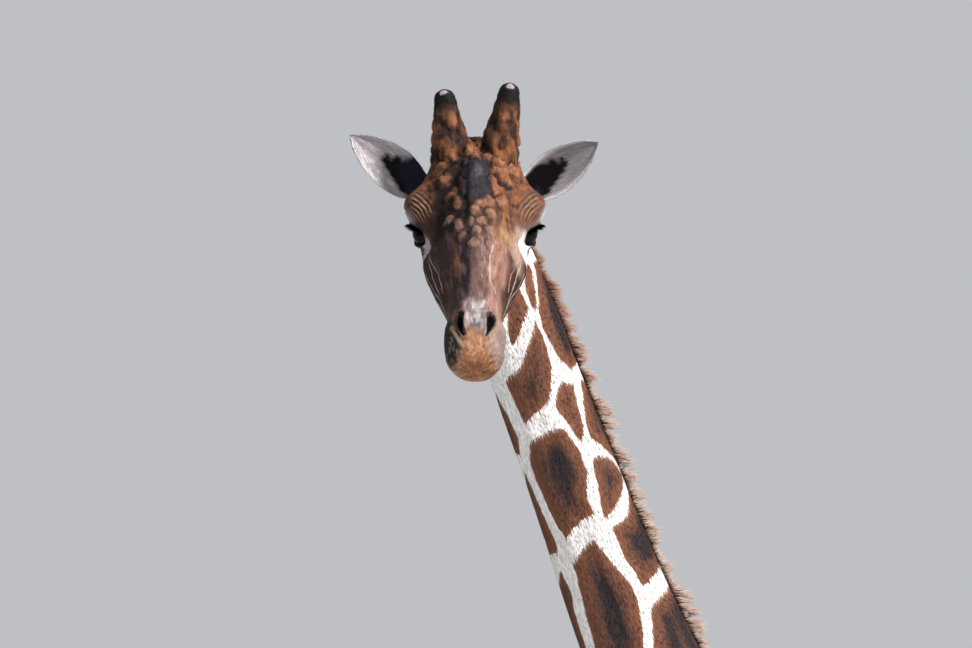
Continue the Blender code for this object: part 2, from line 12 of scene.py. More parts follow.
import bpy
import numpy as np
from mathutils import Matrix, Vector


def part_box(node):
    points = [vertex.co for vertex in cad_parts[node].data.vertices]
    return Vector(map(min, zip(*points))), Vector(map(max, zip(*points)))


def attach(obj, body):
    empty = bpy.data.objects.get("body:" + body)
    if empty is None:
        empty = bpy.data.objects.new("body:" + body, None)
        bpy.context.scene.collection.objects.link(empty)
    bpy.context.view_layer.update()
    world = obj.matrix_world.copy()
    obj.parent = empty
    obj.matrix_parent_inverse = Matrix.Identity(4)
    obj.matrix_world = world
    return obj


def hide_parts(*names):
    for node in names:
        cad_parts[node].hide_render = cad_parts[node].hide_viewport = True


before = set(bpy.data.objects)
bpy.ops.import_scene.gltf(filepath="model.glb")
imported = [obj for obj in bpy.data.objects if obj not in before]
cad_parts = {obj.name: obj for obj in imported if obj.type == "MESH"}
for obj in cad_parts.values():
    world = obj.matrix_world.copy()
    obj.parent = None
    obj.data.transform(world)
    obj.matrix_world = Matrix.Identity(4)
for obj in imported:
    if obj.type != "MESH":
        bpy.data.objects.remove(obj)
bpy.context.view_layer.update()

# %% [markdown]
# ## Curves and outlines
#
# Every tube of the body is a closed outline carried along an axis. A sculptor would call the
# outlines sections. Two small helpers do most of it: one draws a smooth curve through a few
# measured values, the other gives an oval whose upper and lower halves may differ in height.
# Small sizes are written in millimetres, and all sums are done in metres.

# %% Curves and outlines
def mm(*values):
    """Sizes written in millimetres, as metres."""
    return np.array(values) / 1000


def unit(ways):
    """The same ways, one metre long."""
    return ways / np.maximum(np.linalg.norm(ways, axis=-1, keepdims=True), 1e-9)


def dot(first, second):
    """How far one way goes along another, kept as a column."""
    return np.sum(first * second, axis=-1, keepdims=True)


def flow(stations, values, at):
    """A smooth curve through the values: cubic pieces whose slopes come from the neighbours."""
    x = np.asarray(stations, float)
    y = np.asarray(values, float)
    at = np.asarray(at, float)
    slope = np.gradient(y, x, axis=0)
    i = np.clip(np.searchsorted(x, at, side="right") - 1, 0, len(x) - 2)
    step = x[i + 1] - x[i]
    u = (at - x[i]) / step
    if y.ndim > 1:
        step, u = step[..., None], u[..., None]
    start = (1 + 2 * u) * (1 - u) ** 2 * y[i] + u * (1 - u) ** 2 * step * slope[i]
    end = u * u * (3 - 2 * u) * y[i + 1] + u * u * (u - 1) * step * slope[i + 1]
    return start + end


def heading(stations, path, at, step=0.01):
    """The way that a curve goes at each place."""
    return unit(flow(stations, path, at + step) - flow(stations, path, at - step))


def oval(angle, half_width, rise, drop, power):
    """Across and up offsets: a superellipse with one height above its middle and another below."""
    across, up = np.sin(angle), np.cos(angle)
    sizes = (half_width, rise, drop, power)
    half_width, rise, drop, power = (np.asarray(size, float)[..., None] for size in sizes)
    height = np.where(up > 0, rise, drop)
    reach = (np.abs(across / half_width) ** power + np.abs(up / height) ** power) ** (-1 / power)
    return reach * across, reach * up


def placed(centre, across, left, up, back):
    """Points of rings in the world, from offsets across and up and the ways they go."""
    return centre[:, None] + across[..., None] * left + up[..., None] * back


def bell(distance, width=1.0):
    """A round bell: 1 in the middle, fading within about two widths."""
    return np.exp(-((distance / width) ** 2))


def ease(low, high, value):
    """0 below low, 1 above high and an S between them."""
    u = np.clip((value - low) / (high - low), 0, 1)
    return u * u * (3 - 2 * u)


def swelling(swellings, first, second, third):
    """The sum of soft round swellings, each a bell about its own centre."""
    total = np.zeros(np.broadcast(first, second, third).shape)
    for a, b, c, reach_a, reach_b, reach_c, height in swellings:
        far = ((first - a) / reach_a) ** 2 + ((second - b) / reach_b) ** 2 + ((third - c) / reach_c) ** 2
        total += height * np.exp(-far)
    return total


def crowded(start, end, count, *crowds):
    """Stations from start to end, closer together at each crowd (middle, width, how much)."""
    fine = np.linspace(start, end, 2001)
    density = np.ones_like(fine)
    for middle, width, more in crowds:
        density += more * bell(fine - middle, width)
    travelled = np.concatenate(([0], np.cumsum((density[1:] + density[:-1]) / 2)))
    return np.interp(np.linspace(0, travelled[-1], count), travelled, fine)


# %% [markdown]
# ## Where the animal stands
#
# The head has a frame of its own: along it from the poll to the nose, out to the animal's left,
# and up from the level of the eyes. The head is turned to the left and dips a little. The solids
# were moved so that the origin lies under the middle of the figure, and the left eye's box says
# by how much.

# %% The head's frame
NECK_TOP = np.array((0.06, -1.66, 4.654))
HEAD_YAW = math.radians(70)
HEAD_PITCH = math.radians(34)
NECK_TOP_IN_HEAD = (-0.20, -0.07)
EYE_OUT = 0.104
EYE_RADIUS = 0.027

TOWARD = np.array([math.sin(HEAD_YAW), -math.cos(HEAD_YAW), 0.0])
LEFTWARD = np.array([math.cos(HEAD_YAW), math.sin(HEAD_YAW), 0.0])
UPRIGHT = np.array([0.0, 0.0, 1.0])
FORWARD = math.cos(HEAD_PITCH) * TOWARD - math.sin(HEAD_PITCH) * UPRIGHT
CROWN = math.sin(HEAD_PITCH) * TOWARD + math.cos(HEAD_PITCH) * UPRIGHT
EYES = NECK_TOP - FORWARD * NECK_TOP_IN_HEAD[0] - CROWN * NECK_TOP_IN_HEAD[1]


def box_middle(name):
    """The middle of a solid's box."""
    low, high = (np.array(corner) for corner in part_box(name))
    return (low + high) / 2


PLACE = box_middle("eye_left") - (EYES + EYE_OUT * LEFTWARD)
EYES = EYES + PLACE
print("stance moved by", PLACE.round(4), "middle between the eyes", EYES.round(3))


def head_place(along, out, up):
    """From the head's own frame to the world."""
    along, out, up = (np.asarray(value, float)[..., None] for value in (along, out, up))
    return EYES + along * FORWARD + out * LEFTWARD + up * CROWN


def in_head(points):
    """From the world to the head's own frame: along, out and up."""
    offset = points - EYES
    return offset @ FORWARD, offset @ LEFTWARD, offset @ CROWN


# %% [markdown]
# ## The trunk
#
# A giraffe's barrel is deep and narrow in front and round behind, and its back falls away from
# the withers. The shoulders, the haunches and the withers are soft swellings on the barrel. The
# skin lies a coat's depth inside the solids.

# %% The trunk
COAT_DEPTH = 0.004
TRUNK_Y = (-1.01, -0.98, -0.90, -0.78, -0.60, -0.40, -0.15, 0.15, 0.45, 0.70, 0.87, 0.97, 1.00)
TRUNK_HALF_WIDTH = mm(30, 85, 155, 205, 245, 270, 300, 325, 315, 275, 200, 100, 40)
TRUNK_TOP = (2.50, 2.60, 2.72, 2.86, 3.00, 3.06, 3.00, 2.86, 2.72, 2.61, 2.53, 2.45, 2.38)
TRUNK_BOTTOM = (2.44, 2.35, 2.24, 2.12, 2.01, 1.96, 1.94, 1.935, 1.985, 2.07, 2.15, 2.22, 2.30)
TRUNK_WIDEST = 0.44
TRUNK_POWER = 2.15
RIB_HEIGHT, RIB_SPACING = 0.0015, 0.062
TRUNK_SWELLINGS = mm(
    (230, -500, 2360, 120, 200, 420, 52),  # shoulder
    (250, -580, 2160, 140, 150, 160, 30),  # point of the shoulder
    (260, 640, 2240, 140, 250, 340, 55),  # haunch
    (100, -300, 3000, 100, 220, 100, 30),  # withers
    # Shallow shapes of bone and muscle under the hide, on the skin alone.
    (200, -440, 2700, 100, 50, 260, 10),  # spine of the shoulder blade
    (240, -300, 2450, 140, 50, 300, -12),  # hollow behind the shoulder
    (220, 440, 2500, 120, 60, 100, 12),  # point of the hip
    (260, 380, 2250, 140, 70, 220, -14),  # hollow of the flank
    (200, 860, 2360, 100, 50, 80, 10),  # point of the rump
    (200, -780, 2500, 100, 80, 120, -8),  # hollow before the shoulder
)


def trunk_rings(at, angle):
    """Rings square to Y: ovals with the swellings pushed out along the section."""
    half_width = flow(TRUNK_Y, TRUNK_HALF_WIDTH, at) - COAT_DEPTH
    top = flow(TRUNK_Y, TRUNK_TOP, at) - COAT_DEPTH
    bottom = flow(TRUNK_Y, TRUNK_BOTTOM, at) + COAT_DEPTH
    middle = bottom + (top - bottom) * TRUNK_WIDEST
    across, up = oval(angle, half_width, top - middle, middle - bottom, TRUNK_POWER)
    y = np.broadcast_to(at[:, None], across.shape)
    swell = swelling(TRUNK_SWELLINGS, np.abs(across), y, up + middle[:, None])
    ribs = RIB_HEIGHT * np.sin((y + 0.12 * up) / RIB_SPACING * 2 * np.pi)
    ribs = ribs * bell(y - 0.10, 0.32) * bell(up + 0.10, 0.26)
    stretch = 1 + (swell + ribs) / np.hypot(across, up)
    return np.stack((across * stretch, y, up * stretch + middle[:, None]), axis=-1) + PLACE


# %% [markdown]
# ## The neck
#
# The neck leans forward and curves into the chest. It is deeper from nape to throat than it is
# wide. Its frames are kept, because the coat, the patches and the mane all follow them.

# %% The neck
NECK_PATH_AT = (-0.10, 0.0, 0.5, 1.0, 1.5, 1.95, 2.35)
NECK_PATH = (
    (0.062, -1.70, 4.746),
    tuple(NECK_TOP),
    (0.035, -1.465, 4.195),
    (0.010, -1.268, 3.736),
    (0.0, -1.035, 3.294),
    (0.0, -0.76, 2.938),
    (0.0, -0.46, 2.674),
)
NECK_SIZE_AT = (-0.10, 0.0, 0.15, 0.37, 0.77, 1.06, 1.40, 1.65, 1.86, 2.10, 2.35)
NECK_HALF_WIDTH = mm(58, 70, 78, 80, 88, 96, 116, 142, 172, 200, 200)
NECK_NAPE = mm(70, 86, 94, 96, 108, 126, 165, 215, 275, 325, 330)
NECK_THROAT = mm(70, 86, 94, 98, 110, 128, 170, 240, 345, 480, 520)
NECK_TWIST = math.radians(30)
NECK_POWER = 2.2
NECK_GROOVE = 0.005  # depth of the long groove between windpipe and muscle


def neck_frames(at):
    """The path's points, the way down it, the animal's left and the nape's way at each place."""
    at = np.asarray(at, float)
    centre = flow(NECK_PATH_AT, NECK_PATH, at) + PLACE
    down = heading(NECK_PATH_AT, NECK_PATH, at)
    turn = NECK_TWIST * np.clip(1 - at / 0.45, 0, 1) ** 2
    left = np.stack((np.cos(turn), np.sin(turn), np.zeros_like(turn)), axis=-1)
    left = unit(left - down * dot(left, down))
    nape = np.cross(left, down)
    nape *= np.where(nape[..., 1:2] < 0, -1.0, 1.0)
    return centre, down, left, nape


def neck_rings(at, angle):
    """Rings of the neck; a shallow groove runs down each side in front of the muscle."""
    centre, _, left, nape = neck_frames(at)
    half_width = flow(NECK_SIZE_AT, NECK_HALF_WIDTH, at) - COAT_DEPTH
    rise = flow(NECK_SIZE_AT, NECK_NAPE, at) - COAT_DEPTH
    drop = flow(NECK_SIZE_AT, NECK_THROAT, at) - COAT_DEPTH
    across, up = oval(angle, half_width, rise, drop, NECK_POWER)
    from_nape = np.abs((angle + np.pi) % (2 * np.pi) - np.pi)
    groove = bell(from_nape - math.radians(128), 0.22) - 0.6 * bell(from_nape - math.radians(92), 0.35)
    along = bell(at[:, None] - 1.0, 0.75)
    stretch = 1 - NECK_GROOVE * groove * along / np.hypot(across, up)
    across, up = across * stretch, up * stretch
    return placed(centre, across, left[:, None], up, nape[:, None])


# %% [markdown]
# ## The legs
#
# Level sections run down each leg. The knee and the fetlock bulge, the cannon between them is
# slim with a tendon behind it, and each foot ends above its two hooves.

# %% The legs
HOOF_TOP = 0.125
# Rows from the foot up: height, out from the middle, front to back, half-width and half-length.
FORE_LEG = mm(
    (125, 200, 270, 360, 600, 860, 960, 1050, 1160, 1400, 1680, 1880, 2080, 2300, 2550, 2720, 2800),
    (187, 186, 185, 185, 185, 185, 185, 185, 185, 190, 195, 200, 200, 195, 180, 165, 160),
    (-500, -480, -462, -460, -460, -460, -465, -472, -465, -460, -455, -460, -490, -500, -460, -430, -420),
    (82, 60, 54, 43, 40, 46, 60, 64, 56, 60, 74, 88, 100, 100, 85, 50, 20),
    (100, 68, 66, 53, 47, 53, 68, 76, 68, 80, 108, 145, 190, 220, 180, 100, 40),
)
HIND_LEG = mm(
    (125, 200, 270, 360, 600, 880, 990, 1080, 1180, 1320, 1500, 1720, 1920, 2120, 2340, 2480, 2550),
    (190, 188, 187, 187, 187, 187, 187, 187, 187, 188, 190, 195, 195, 190, 165, 135, 120),
    (712, 735, 750, 755, 765, 775, 790, 800, 790, 755, 700, 650, 630, 640, 680, 710, 720),
    (80, 60, 54, 43, 40, 44, 53, 56, 54, 56, 69, 88, 105, 115, 95, 55, 20),
    (97, 68, 67, 55, 51, 60, 76, 88, 84, 90, 118, 160, 205, 235, 200, 120, 50),
)
# The side is +1 for left and -1 for right; then comes how far forward the foot stands.
LEGS = {
    "fore_left": (FORE_LEG, 1, 0.05), "fore_right": (FORE_LEG, -1, -0.05),
    "hind_left": (HIND_LEG, 1, -0.07), "hind_right": (HIND_LEG, -1, 0.06),
}
STEP_TOP = 2.1


def leg_middle(leg, at):
    """The middle of a leg at a height, swung forward or back with its foot."""
    (levels, out, along, _, _), side, step = LEGS[leg]
    swing = np.clip(1 - np.asarray(at, float) / STEP_TOP, 0, 1)
    return side * flow(levels, out, at), flow(levels, along, at) - step * swing


def leg_rings(leg, at, angle):
    """Level rings down a leg; bone and tendon are pinched apart along the cannon."""
    (levels, _, _, across_size, along_size), side, _ = LEGS[leg]
    x, y = leg_middle(leg, at)
    half_across = flow(levels, across_size, at) - COAT_DEPTH
    half_along = flow(levels, along_size, at) - COAT_DEPTH
    across, along = oval(angle, half_across, half_along, half_along, 2.1)
    sideways = np.sin(angle) ** 2
    cannon = bell(at[:, None] - 0.60, 0.20) * bell(along + 0.008, 0.012) * sideways * 0.006
    knee = 0.004 * bell(at[:, None] - 1.03, 0.045) * np.cos(2 * angle)
    stretch = 1 + (knee - cannon) / np.hypot(across, along)
    across, along = across * stretch, along * stretch
    z = np.broadcast_to(at[:, None], across.shape)
    return np.stack((side * across + x[:, None], y[:, None] - along, z), axis=-1) + PLACE


# %% [markdown]
# ## The tail
#
# A thin rope of a tail leaves the rump and hangs to the hocks. Its long tuft is made later.

# %% The tail
TAIL_AT = (0.0, 0.10, 0.20, 0.45, 0.85, 1.50)
TAIL_PATH = (
    (0.0, 0.90, 2.43),
    (0.0, 0.995, 2.405),
    (0.0, 1.055, 2.32),
    (0.0, 1.085, 2.07),
    (0.0, 1.080, 1.67),
    (0.0, 1.055, 1.02),
)
TAIL_SIZE_AT = (0.0, 0.15, 0.40, 0.70, 0.86, 1.0, 1.15, 1.35, 1.46, 1.50)
TAIL_RADIUS = mm(45, 38, 26, 18, 17, 32, 45, 40, 22, 8)
TAIL_ROPE_END = 0.90
TAIL_COAT = 0.002


def tail_frames(at):
    """Points down the tail, the way down, left and back."""
    centre = flow(TAIL_AT, TAIL_PATH, at) + PLACE
    down = heading(TAIL_AT, TAIL_PATH, at)
    left = np.broadcast_to(np.array([1.0, 0.0, 0.0]), down.shape)
    return centre, down, left, np.cross(left, down)


def tail_rings(at, angle):
    """Round rings down the tail's rope, which thins to its end inside the tuft."""
    centre, _, left, back = tail_frames(at)
    radius = np.minimum(flow(TAIL_SIZE_AT, TAIL_RADIUS, at), 0.045) - TAIL_COAT
    radius = np.where(at > TAIL_ROPE_END - 0.06, np.minimum(radius, 0.014), radius)
    across, up = oval(angle, radius, radius, radius, 2.0)
    return placed(centre, across, left[:, None], up, back[:, None])


# %% [markdown]
# ## Lumps that look grown
#
# Nothing on an old bull is smooth. Two kinds of noise give the roughness: soft lumps, and
# pebbles, which are domes packed side by side, like the knobs of bone round his horns. Blender
# has both as textures, but here they have to move the mesh, so they are worked out with numpy.

# %% Lumps and pebbles
def scatter(cell, seed):
    """A repeatable random number from 0 to 1 for each lattice cell."""
    mixed = cell[..., 0] * 374761393 + cell[..., 1] * 668265263 + cell[..., 2] * 2147483647
    mixed = mixed + seed * 144665
    mixed = (mixed ^ (mixed >> 13)) * 1274126177
    return ((mixed ^ (mixed >> 16)) & 0xFFFF) / 65535


def lumps(points, size, seed=0):
    """Smooth noise from -1 to 1: random values on a lattice, blended between its corners."""
    cell = np.floor(points / size).astype(np.int64)
    f = points / size - cell
    f = f * f * (3 - 2 * f)
    total = np.zeros(points.shape[:-1])
    for corner in range(8):
        offset = np.array([corner & 1, (corner >> 1) & 1, (corner >> 2) & 1])
        weight = np.prod(np.where(offset == 1, f, 1 - f), axis=-1)
        total += (scatter(cell + offset, seed) * 2 - 1) * weight
    return total


def pushes(points, size, seed):
    """Smooth noise for all three directions."""
    return np.stack([lumps(points, size, seed + i) for i in range(3)], axis=1)


def pebbles(points, size, seed=0):
    """Packed domes: 1 on the top of each, 0 in the gaps, from the distance to the nearest of
    one random point in each lattice cell."""
    cell = np.floor(points / size).astype(np.int64)
    nearest = np.full(points.shape[:-1], 9.0)
    for corner in range(27):
        offset = np.array([corner % 3, corner // 3 % 3, corner // 9]) - 1
        near = cell + offset
        middle = np.stack([scatter(near, seed + 11 * i) for i in range(3)], axis=-1)
        far = np.linalg.norm(points / size - near - middle, axis=-1)
        nearest = np.minimum(nearest, far)
    return np.sqrt(np.clip(1 - (nearest / 0.72) ** 2, 0, 1))


# %% [markdown]
# ## The head
#
# A bull's head is long and bony. Rings run from the poll to the nose, closer together at the
# eyes, the brows and the nostrils. Big forms come first: brows, median horn and the roots of the
# ossicones. Then the skin gets what age gives a bull: knobs of bone down the forehead, wrinkles
# over the eyes, and folds round the nostrils and lips.

# %% Big forms of the head
HEAD_COAT = 0.0015
HEAD_AT = mm(-270, -250, -210, -160, -100, -40, 20, 80, 150, 220, 280, 330, 370, 400, 414)
HEAD_HALF_WIDTH = mm(20, 55, 90, 108, 117, 118, 111, 103, 86, 62, 57, 64, 58, 44, 16)
HEAD_WIDEST = mm(0, 0, -10, -10, 0, 0, -10, -38, -52, -62, -66, -68, -74, -84, -90)
HEAD_TOP = mm(25, 65, 112, 138, 136, 120, 98, 78, 54, 30, 10, -10, -30, -58, -82)
HEAD_BOTTOM = mm(-30, -85, -150, -188, -200, -196, -182, -168, -156, -148, -146, -147, -138, -122, -104)
HEAD_POWER = (2.0, 2.0, 2.1, 2.2, 2.3, 2.3, 2.2, 2.1, 2.1, 2.2, 2.3, 2.3, 2.3, 2.2, 2.0)
JAW_PINCH = (0.0, 0.1, 0.22, 0.30, 0.34, 0.34, 0.34, 0.34, 0.32, 0.26, 0.20, 0.20, 0.24, 0.24, 0.1)
HEAD_SWELLINGS = mm(
    (-35, 118, 41, 50, 44, 36, 38),  # brow over the left eye
    (-35, -118, 41, 50, 44, 36, 38),  # brow over the right eye
    (-30, 6, 130, 36, 30, 60, 26),  # the median horn
    (-130, 52, 135, 45, 36, 50, 14),  # root of the left ossicone
    (-130, -52, 135, 45, 36, 50, 14),  # root of the right ossicone
)
# Smaller forms of the skin alone: the face's are on both sides, the others in the middle.
FACE_FORMS = mm(
    (48, 108, 4, 24, 26, 24, -17),  # hollow before the eye
    (90, 95, -45, 70, 34, 22, 6),  # cheek bone
    (-60, 100, -110, 70, 60, 60, 10),  # chewing muscle
    (40, 80, 50, 40, 22, 30, -8),  # hollow between brow and nose
    (180, 70, -20, 60, 30, 25, -5),  # hollow of the cheek
    (335, 46, -45, 26, 20, 30, 6),  # wing of the nostril
    (360, 45, -105, 35, 30, 22, 5),  # upper lip's side
)
MIDDLE_FORMS = mm(
    (150, 0, 54, 110, 20, 50, 6),  # ridge of the nose
    (345, 0, -16, 30, 13, 40, -4),  # dip between the nostrils
    (398, 0, -80, 30, 30, 26, 5),  # middle of the upper lip
    (345, 0, -150, 28, 30, 20, 6),  # chin
    (0, -19, 120, 36, 6, 60, -9),  # furrow beside the median horn
)
# Knobs of bone: along, out, radius and height.
KNOBS = mm(
    (28, -36, 12, 6.5), (24, 31, 12, 6.5), (18, 56, 12, 5.5),
    (50, -3, 12, 7), (58, 31, 11.5, 6), (85, -34, 12, 5.5),
    (108, 3, 11.5, 5.5), (98, 33, 11, 5), (114, -27, 11, 4.5),
    (136, 34, 10.5, 3.5), (60, -56, 10.5, 4), (0, -50, 13, 6),
    (18, -10, 10.5, 4.5), (140, -4, 10.5, 3), (-10, 46, 13, 6),
    (-40, -62, 15, 7), (-50, 64, 15, 7), (-75, -72, 15, 8),
    (-82, 80, 15, 7), (-95, -48, 13, 8), (-92, 28, 12, 6),
    (-108, -10, 15, 7), (-85, 52, 12, 6.5), (-118, -82, 14, 7),
    (80, -8, 10.5, 5), (78, 14, 10, 4.5), (34, 8, 11, 5),
)
HEAD_RINGS = 200
HEAD_HALF_ROUND = 92


def pinched(out, up, drop, pinch):
    """Narrow the lower half of a section towards the jaw."""
    below = np.clip(-up / drop[:, None], 0, 1)
    return out * (1 - pinch[:, None] * below**1.5)


def head_base(at, angle):
    """The head's big forms in its own frame: along, out and up of every ring point."""
    half_width = flow(HEAD_AT, HEAD_HALF_WIDTH, at) - HEAD_COAT
    middle = flow(HEAD_AT, HEAD_WIDEST, at)
    rise = flow(HEAD_AT, HEAD_TOP, at) - middle - HEAD_COAT
    drop = middle - flow(HEAD_AT, HEAD_BOTTOM, at) - HEAD_COAT
    out, up = oval(angle, half_width, rise, drop, flow(HEAD_AT, HEAD_POWER, at))
    out = pinched(out, up, drop, flow(HEAD_AT, JAW_PINCH, at))
    along = np.broadcast_to(at[:, None], out.shape)
    level = up + middle[:, None]
    stretch = 1 + swelling(HEAD_SWELLINGS, along, out, level) / np.hypot(out, up)
    return along, out * stretch, up * stretch + middle[:, None], middle


# %% [markdown]
# ### Eyes, nostrils and lips
#
# The lids are part of the skin. Near the eye the skin rides over a ball slightly larger than the
# eyeball, and inside an almond it dives under the eyeball's surface, so that the eyeball shows
# through the opening with a lid's thickness round it. A nostril is a slanting slit that is
# pushed deep into the nose, with a raised rim.

# %% Eyes, nostrils and lips
LID_THICK = 0.0028
EYE_HALF_LENGTH = 0.0265
EYE_HALF_HEIGHT = 0.0210
EYE_FORWARD = 0.006  # the opening looks forward
EYE_TILT = math.radians(14)  # in the head's frame, so nearly level in the world
LID_BLEND = 0.014
LID_RIM = 0.0016
LID_FOLD, LID_FOLD_WAVE = 0.0014, 0.0075  # height of the folds round the lids, and their spacing
FOLD_WAVE = 0.0082  # from one wrinkle over the eye to the next
FOLD_HEIGHT = 0.0015
FOLDS_OUTWARD = 0.040  # the wrinkles run round a point this far outward of the eye
PEBBLE_HEIGHT = 0.0090
NOSTRIL_TOP = (0.321, 0.0325)  # along and out
NOSTRIL_FOOT = (0.364, 0.0225)
NOSTRIL_HALF_WIDTH = 0.0092
NOSTRIL_DEPTH = 0.020
NOSTRIL_RIM = 0.0022
MOUTH_LEVEL = -0.119
MOUTH_CORNER = 0.215
MOUTH_DEPTH = 0.006
MOUTH_HALF_WIDTH = 0.0035
LIP_HEIGHT = 0.0035


def eye_opening(along, up):
    """How far a point is from the eye's middle, 1 on the edge of the lids."""
    cos, sin = math.cos(EYE_TILT), math.sin(EYE_TILT)
    length = ((along - EYE_FORWARD) * cos + up * sin) / EYE_HALF_LENGTH
    height = (up * cos - (along - EYE_FORWARD) * sin) / EYE_HALF_HEIGHT
    return (np.abs(length) ** 2.5 + np.abs(height) ** 2.5) ** (1 / 2.5)


def ball_cap(from_eye, radius):
    """Height of a ball's near side over the plane of the eye, falling away beyond its rim."""
    share = from_eye / radius
    return EYE_OUT + radius * np.where(share < 1, np.sqrt(np.clip(1 - share**2, 0, 1)), 2 - 2 * share)


def with_eyelids(along, out, up):
    """Lay the skin over the eyeball and open it inside the almond."""
    side = np.sign(out)
    width = np.abs(out)
    from_eye = np.hypot(along, up)
    ball = ball_cap(from_eye, EYE_RADIUS + LID_THICK)
    covered = 0.5 * (width + ball + np.sqrt((width - ball) ** 2 + LID_BLEND**2))
    near = ease(0.095, 0.045, from_eye) * ease(0.05, 0.08, width)
    covered = width + (covered - width) * near
    under = ball_cap(from_eye, EYE_RADIUS - LID_THICK)
    open_share = ease(1.03, 0.88, eye_opening(along, up)) * near
    rim = LID_RIM * bell(eye_opening(along, up) - 1.12, 0.10) * near
    wave = np.sin((from_eye - EYE_RADIUS) / LID_FOLD_WAVE * 2 * np.pi)
    fold = LID_FOLD * bell(from_eye - 0.041, 0.010) * wave
    return side * ((covered + rim + fold * near) * (1 - open_share) + under * open_share)


def nostril_reach(along, out):
    """Distance from a nostril's slit, 1 on its rim; the slit is a drop, wide above."""
    start, end = np.array(NOSTRIL_TOP), np.array(NOSTRIL_FOOT)
    length = np.linalg.norm(end - start)
    way = (end - start) / length
    a, o = along - start[0], np.abs(out) - start[1]
    down_slit = a * way[0] + o * way[1]
    share = np.clip(down_slit / length, 0, 1)
    beyond = down_slit - share * length
    bend = 0.004 * np.sin(share * np.pi)
    aside = -a * way[1] + o * way[0] - bend
    return np.hypot(aside, beyond) / (NOSTRIL_HALF_WIDTH * (1.05 - 0.62 * share))


def mouth_line(along):
    """Level of the mouth along the cheek; it drops under the upper lip in front."""
    return MOUTH_LEVEL - 0.30 * np.clip(along - 0.325, 0, None)


def knobbly(along, out, up):
    """Where the forehead is knobbly: 1 between the brows and the ossicones, fading down the nose."""
    in_front = ease(0.02, 0.06, up + 0.25 * along)
    over_eyes = ease(0.06, -0.03, along) * ease(-0.20, -0.16, along)
    return in_front * over_eyes * ease(0.115, 0.080, np.abs(out))


def spot_of(along, out, up):
    """The three coordinates as rows of points."""
    return np.stack(np.broadcast_arrays(along, out, up), axis=-1)


def knob_reach(along, out, spot):
    """Distance from each single knob, 1 on its rim, made uneven by noise; and its height."""
    along = along + 0.0040 * lumps(spot, 0.012, 13)
    out = out + 0.0040 * lumps(spot, 0.012, 14)
    return [(np.hypot((along - a) / 1.15, out - o) / radius, height) for a, o, radius, height in KNOBS]


def bone_knobs(along, out, up):
    """The forehead's single knobs and packed pebbles, 0 in the hollows and about 1 on the tops."""
    spot = spot_of(along, out, up)
    crooked = spot + 0.006 * lumps(spot, 0.02, 7)[..., None]
    packed = 0.70 * pebbles(crooked, 0.023, 5) + 0.30 * pebbles(crooked, 0.011, 6)
    packed = ease(0.42, 0.92, packed)
    single = np.zeros(packed.shape)
    for reach, _ in knob_reach(along, out, spot):
        single = np.maximum(single, bell(reach))
    return packed, single * ease(0.0, 0.04, up + 0.25 * along)


def brow_folds(along, side, up):
    """Where the skin over an eye is wrinkled, and the distance that the wrinkles count."""
    spot = spot_of(along, side, up)
    beyond = side - EYE_OUT - FOLDS_OUTWARD
    from_eye = np.sqrt(along**2 + beyond**2 + up**2) + 0.0016 * lumps(spot, 0.018, 12)
    over = ease(0.012, 0.030, up) * bell(from_eye - 0.068, 0.019) * ease(0.028, 0.004, along)
    uneven = (ease(0.140, 0.120, side) * (0.75 + 0.35 * lumps(spot, 0.013, 15))).clip(0, 1)
    return over * ease(-0.085, -0.060, along) * ease(0.082, 0.096, side) * uneven, from_eye


def face_relief(along, out, up):
    """How far the skin of the face stands out from the big forms, in metres."""
    mirrored = np.abs(out)
    relief = swelling(FACE_FORMS, along, mirrored, up) + swelling(MIDDLE_FORMS, along, out, up)
    packed, _ = bone_knobs(along, out, up)
    relief = relief + PEBBLE_HEIGHT * (packed - 0.50) * knobbly(along, out, up)
    front = ease(0.0, 0.04, up + 0.25 * along)
    spot = spot_of(along, out, up)
    for reach, height in knob_reach(along, out, spot):
        relief = relief + (1.05 * height * bell(reach) - 0.0018 * bell(reach - 1.5, 0.5)) * front
    over, fold = brow_folds(along, mirrored, up)
    relief = relief + FOLD_HEIGHT * np.sin(fold / FOLD_WAVE * 2 * np.pi) * over
    nostril = nostril_reach(along, out)
    on_nose = ease(-0.085, -0.06, up)
    relief = relief - NOSTRIL_DEPTH * ease(1.1, 0.55, nostril) * on_nose
    relief = relief + NOSTRIL_RIM * bell(nostril - 1.5, 0.35) * on_nose
    lip_line = mouth_line(along)
    in_mouth = ease(MOUTH_CORNER - 0.01, MOUTH_CORNER + 0.02, along)
    relief = relief - MOUTH_DEPTH * bell(up - lip_line, MOUTH_HALF_WIDTH) * in_mouth
    relief = relief + LIP_HEIGHT * bell(up - lip_line - 0.016, 0.012) * in_mouth
    return relief + 0.0007 * lumps(spot, 0.009, 2) + 0.0012 * lumps(spot, 0.030, 3)


def head_rings(at, angle):
    """The head's rings with face and eyelids, placed in the world."""
    along, out, up, middle = head_base(at, angle)
    from_middle = np.hypot(out, up - middle[:, None])
    stretch = 1 + face_relief(along, out, up) / from_middle
    out, up = out * stretch, (up - middle[:, None]) * stretch + middle[:, None]
    return head_place(along, with_eyelids(along, out, up), up)


# %% [markdown]
# ## Ossicones and ears
#
# Ossicones are horns of bone under haired skin. A bull's are thick, lumpy at the root and worn
# bald at the blunt tip. An ear is a leaf rolled into a cup: its rings are crescents, open
# towards the front.

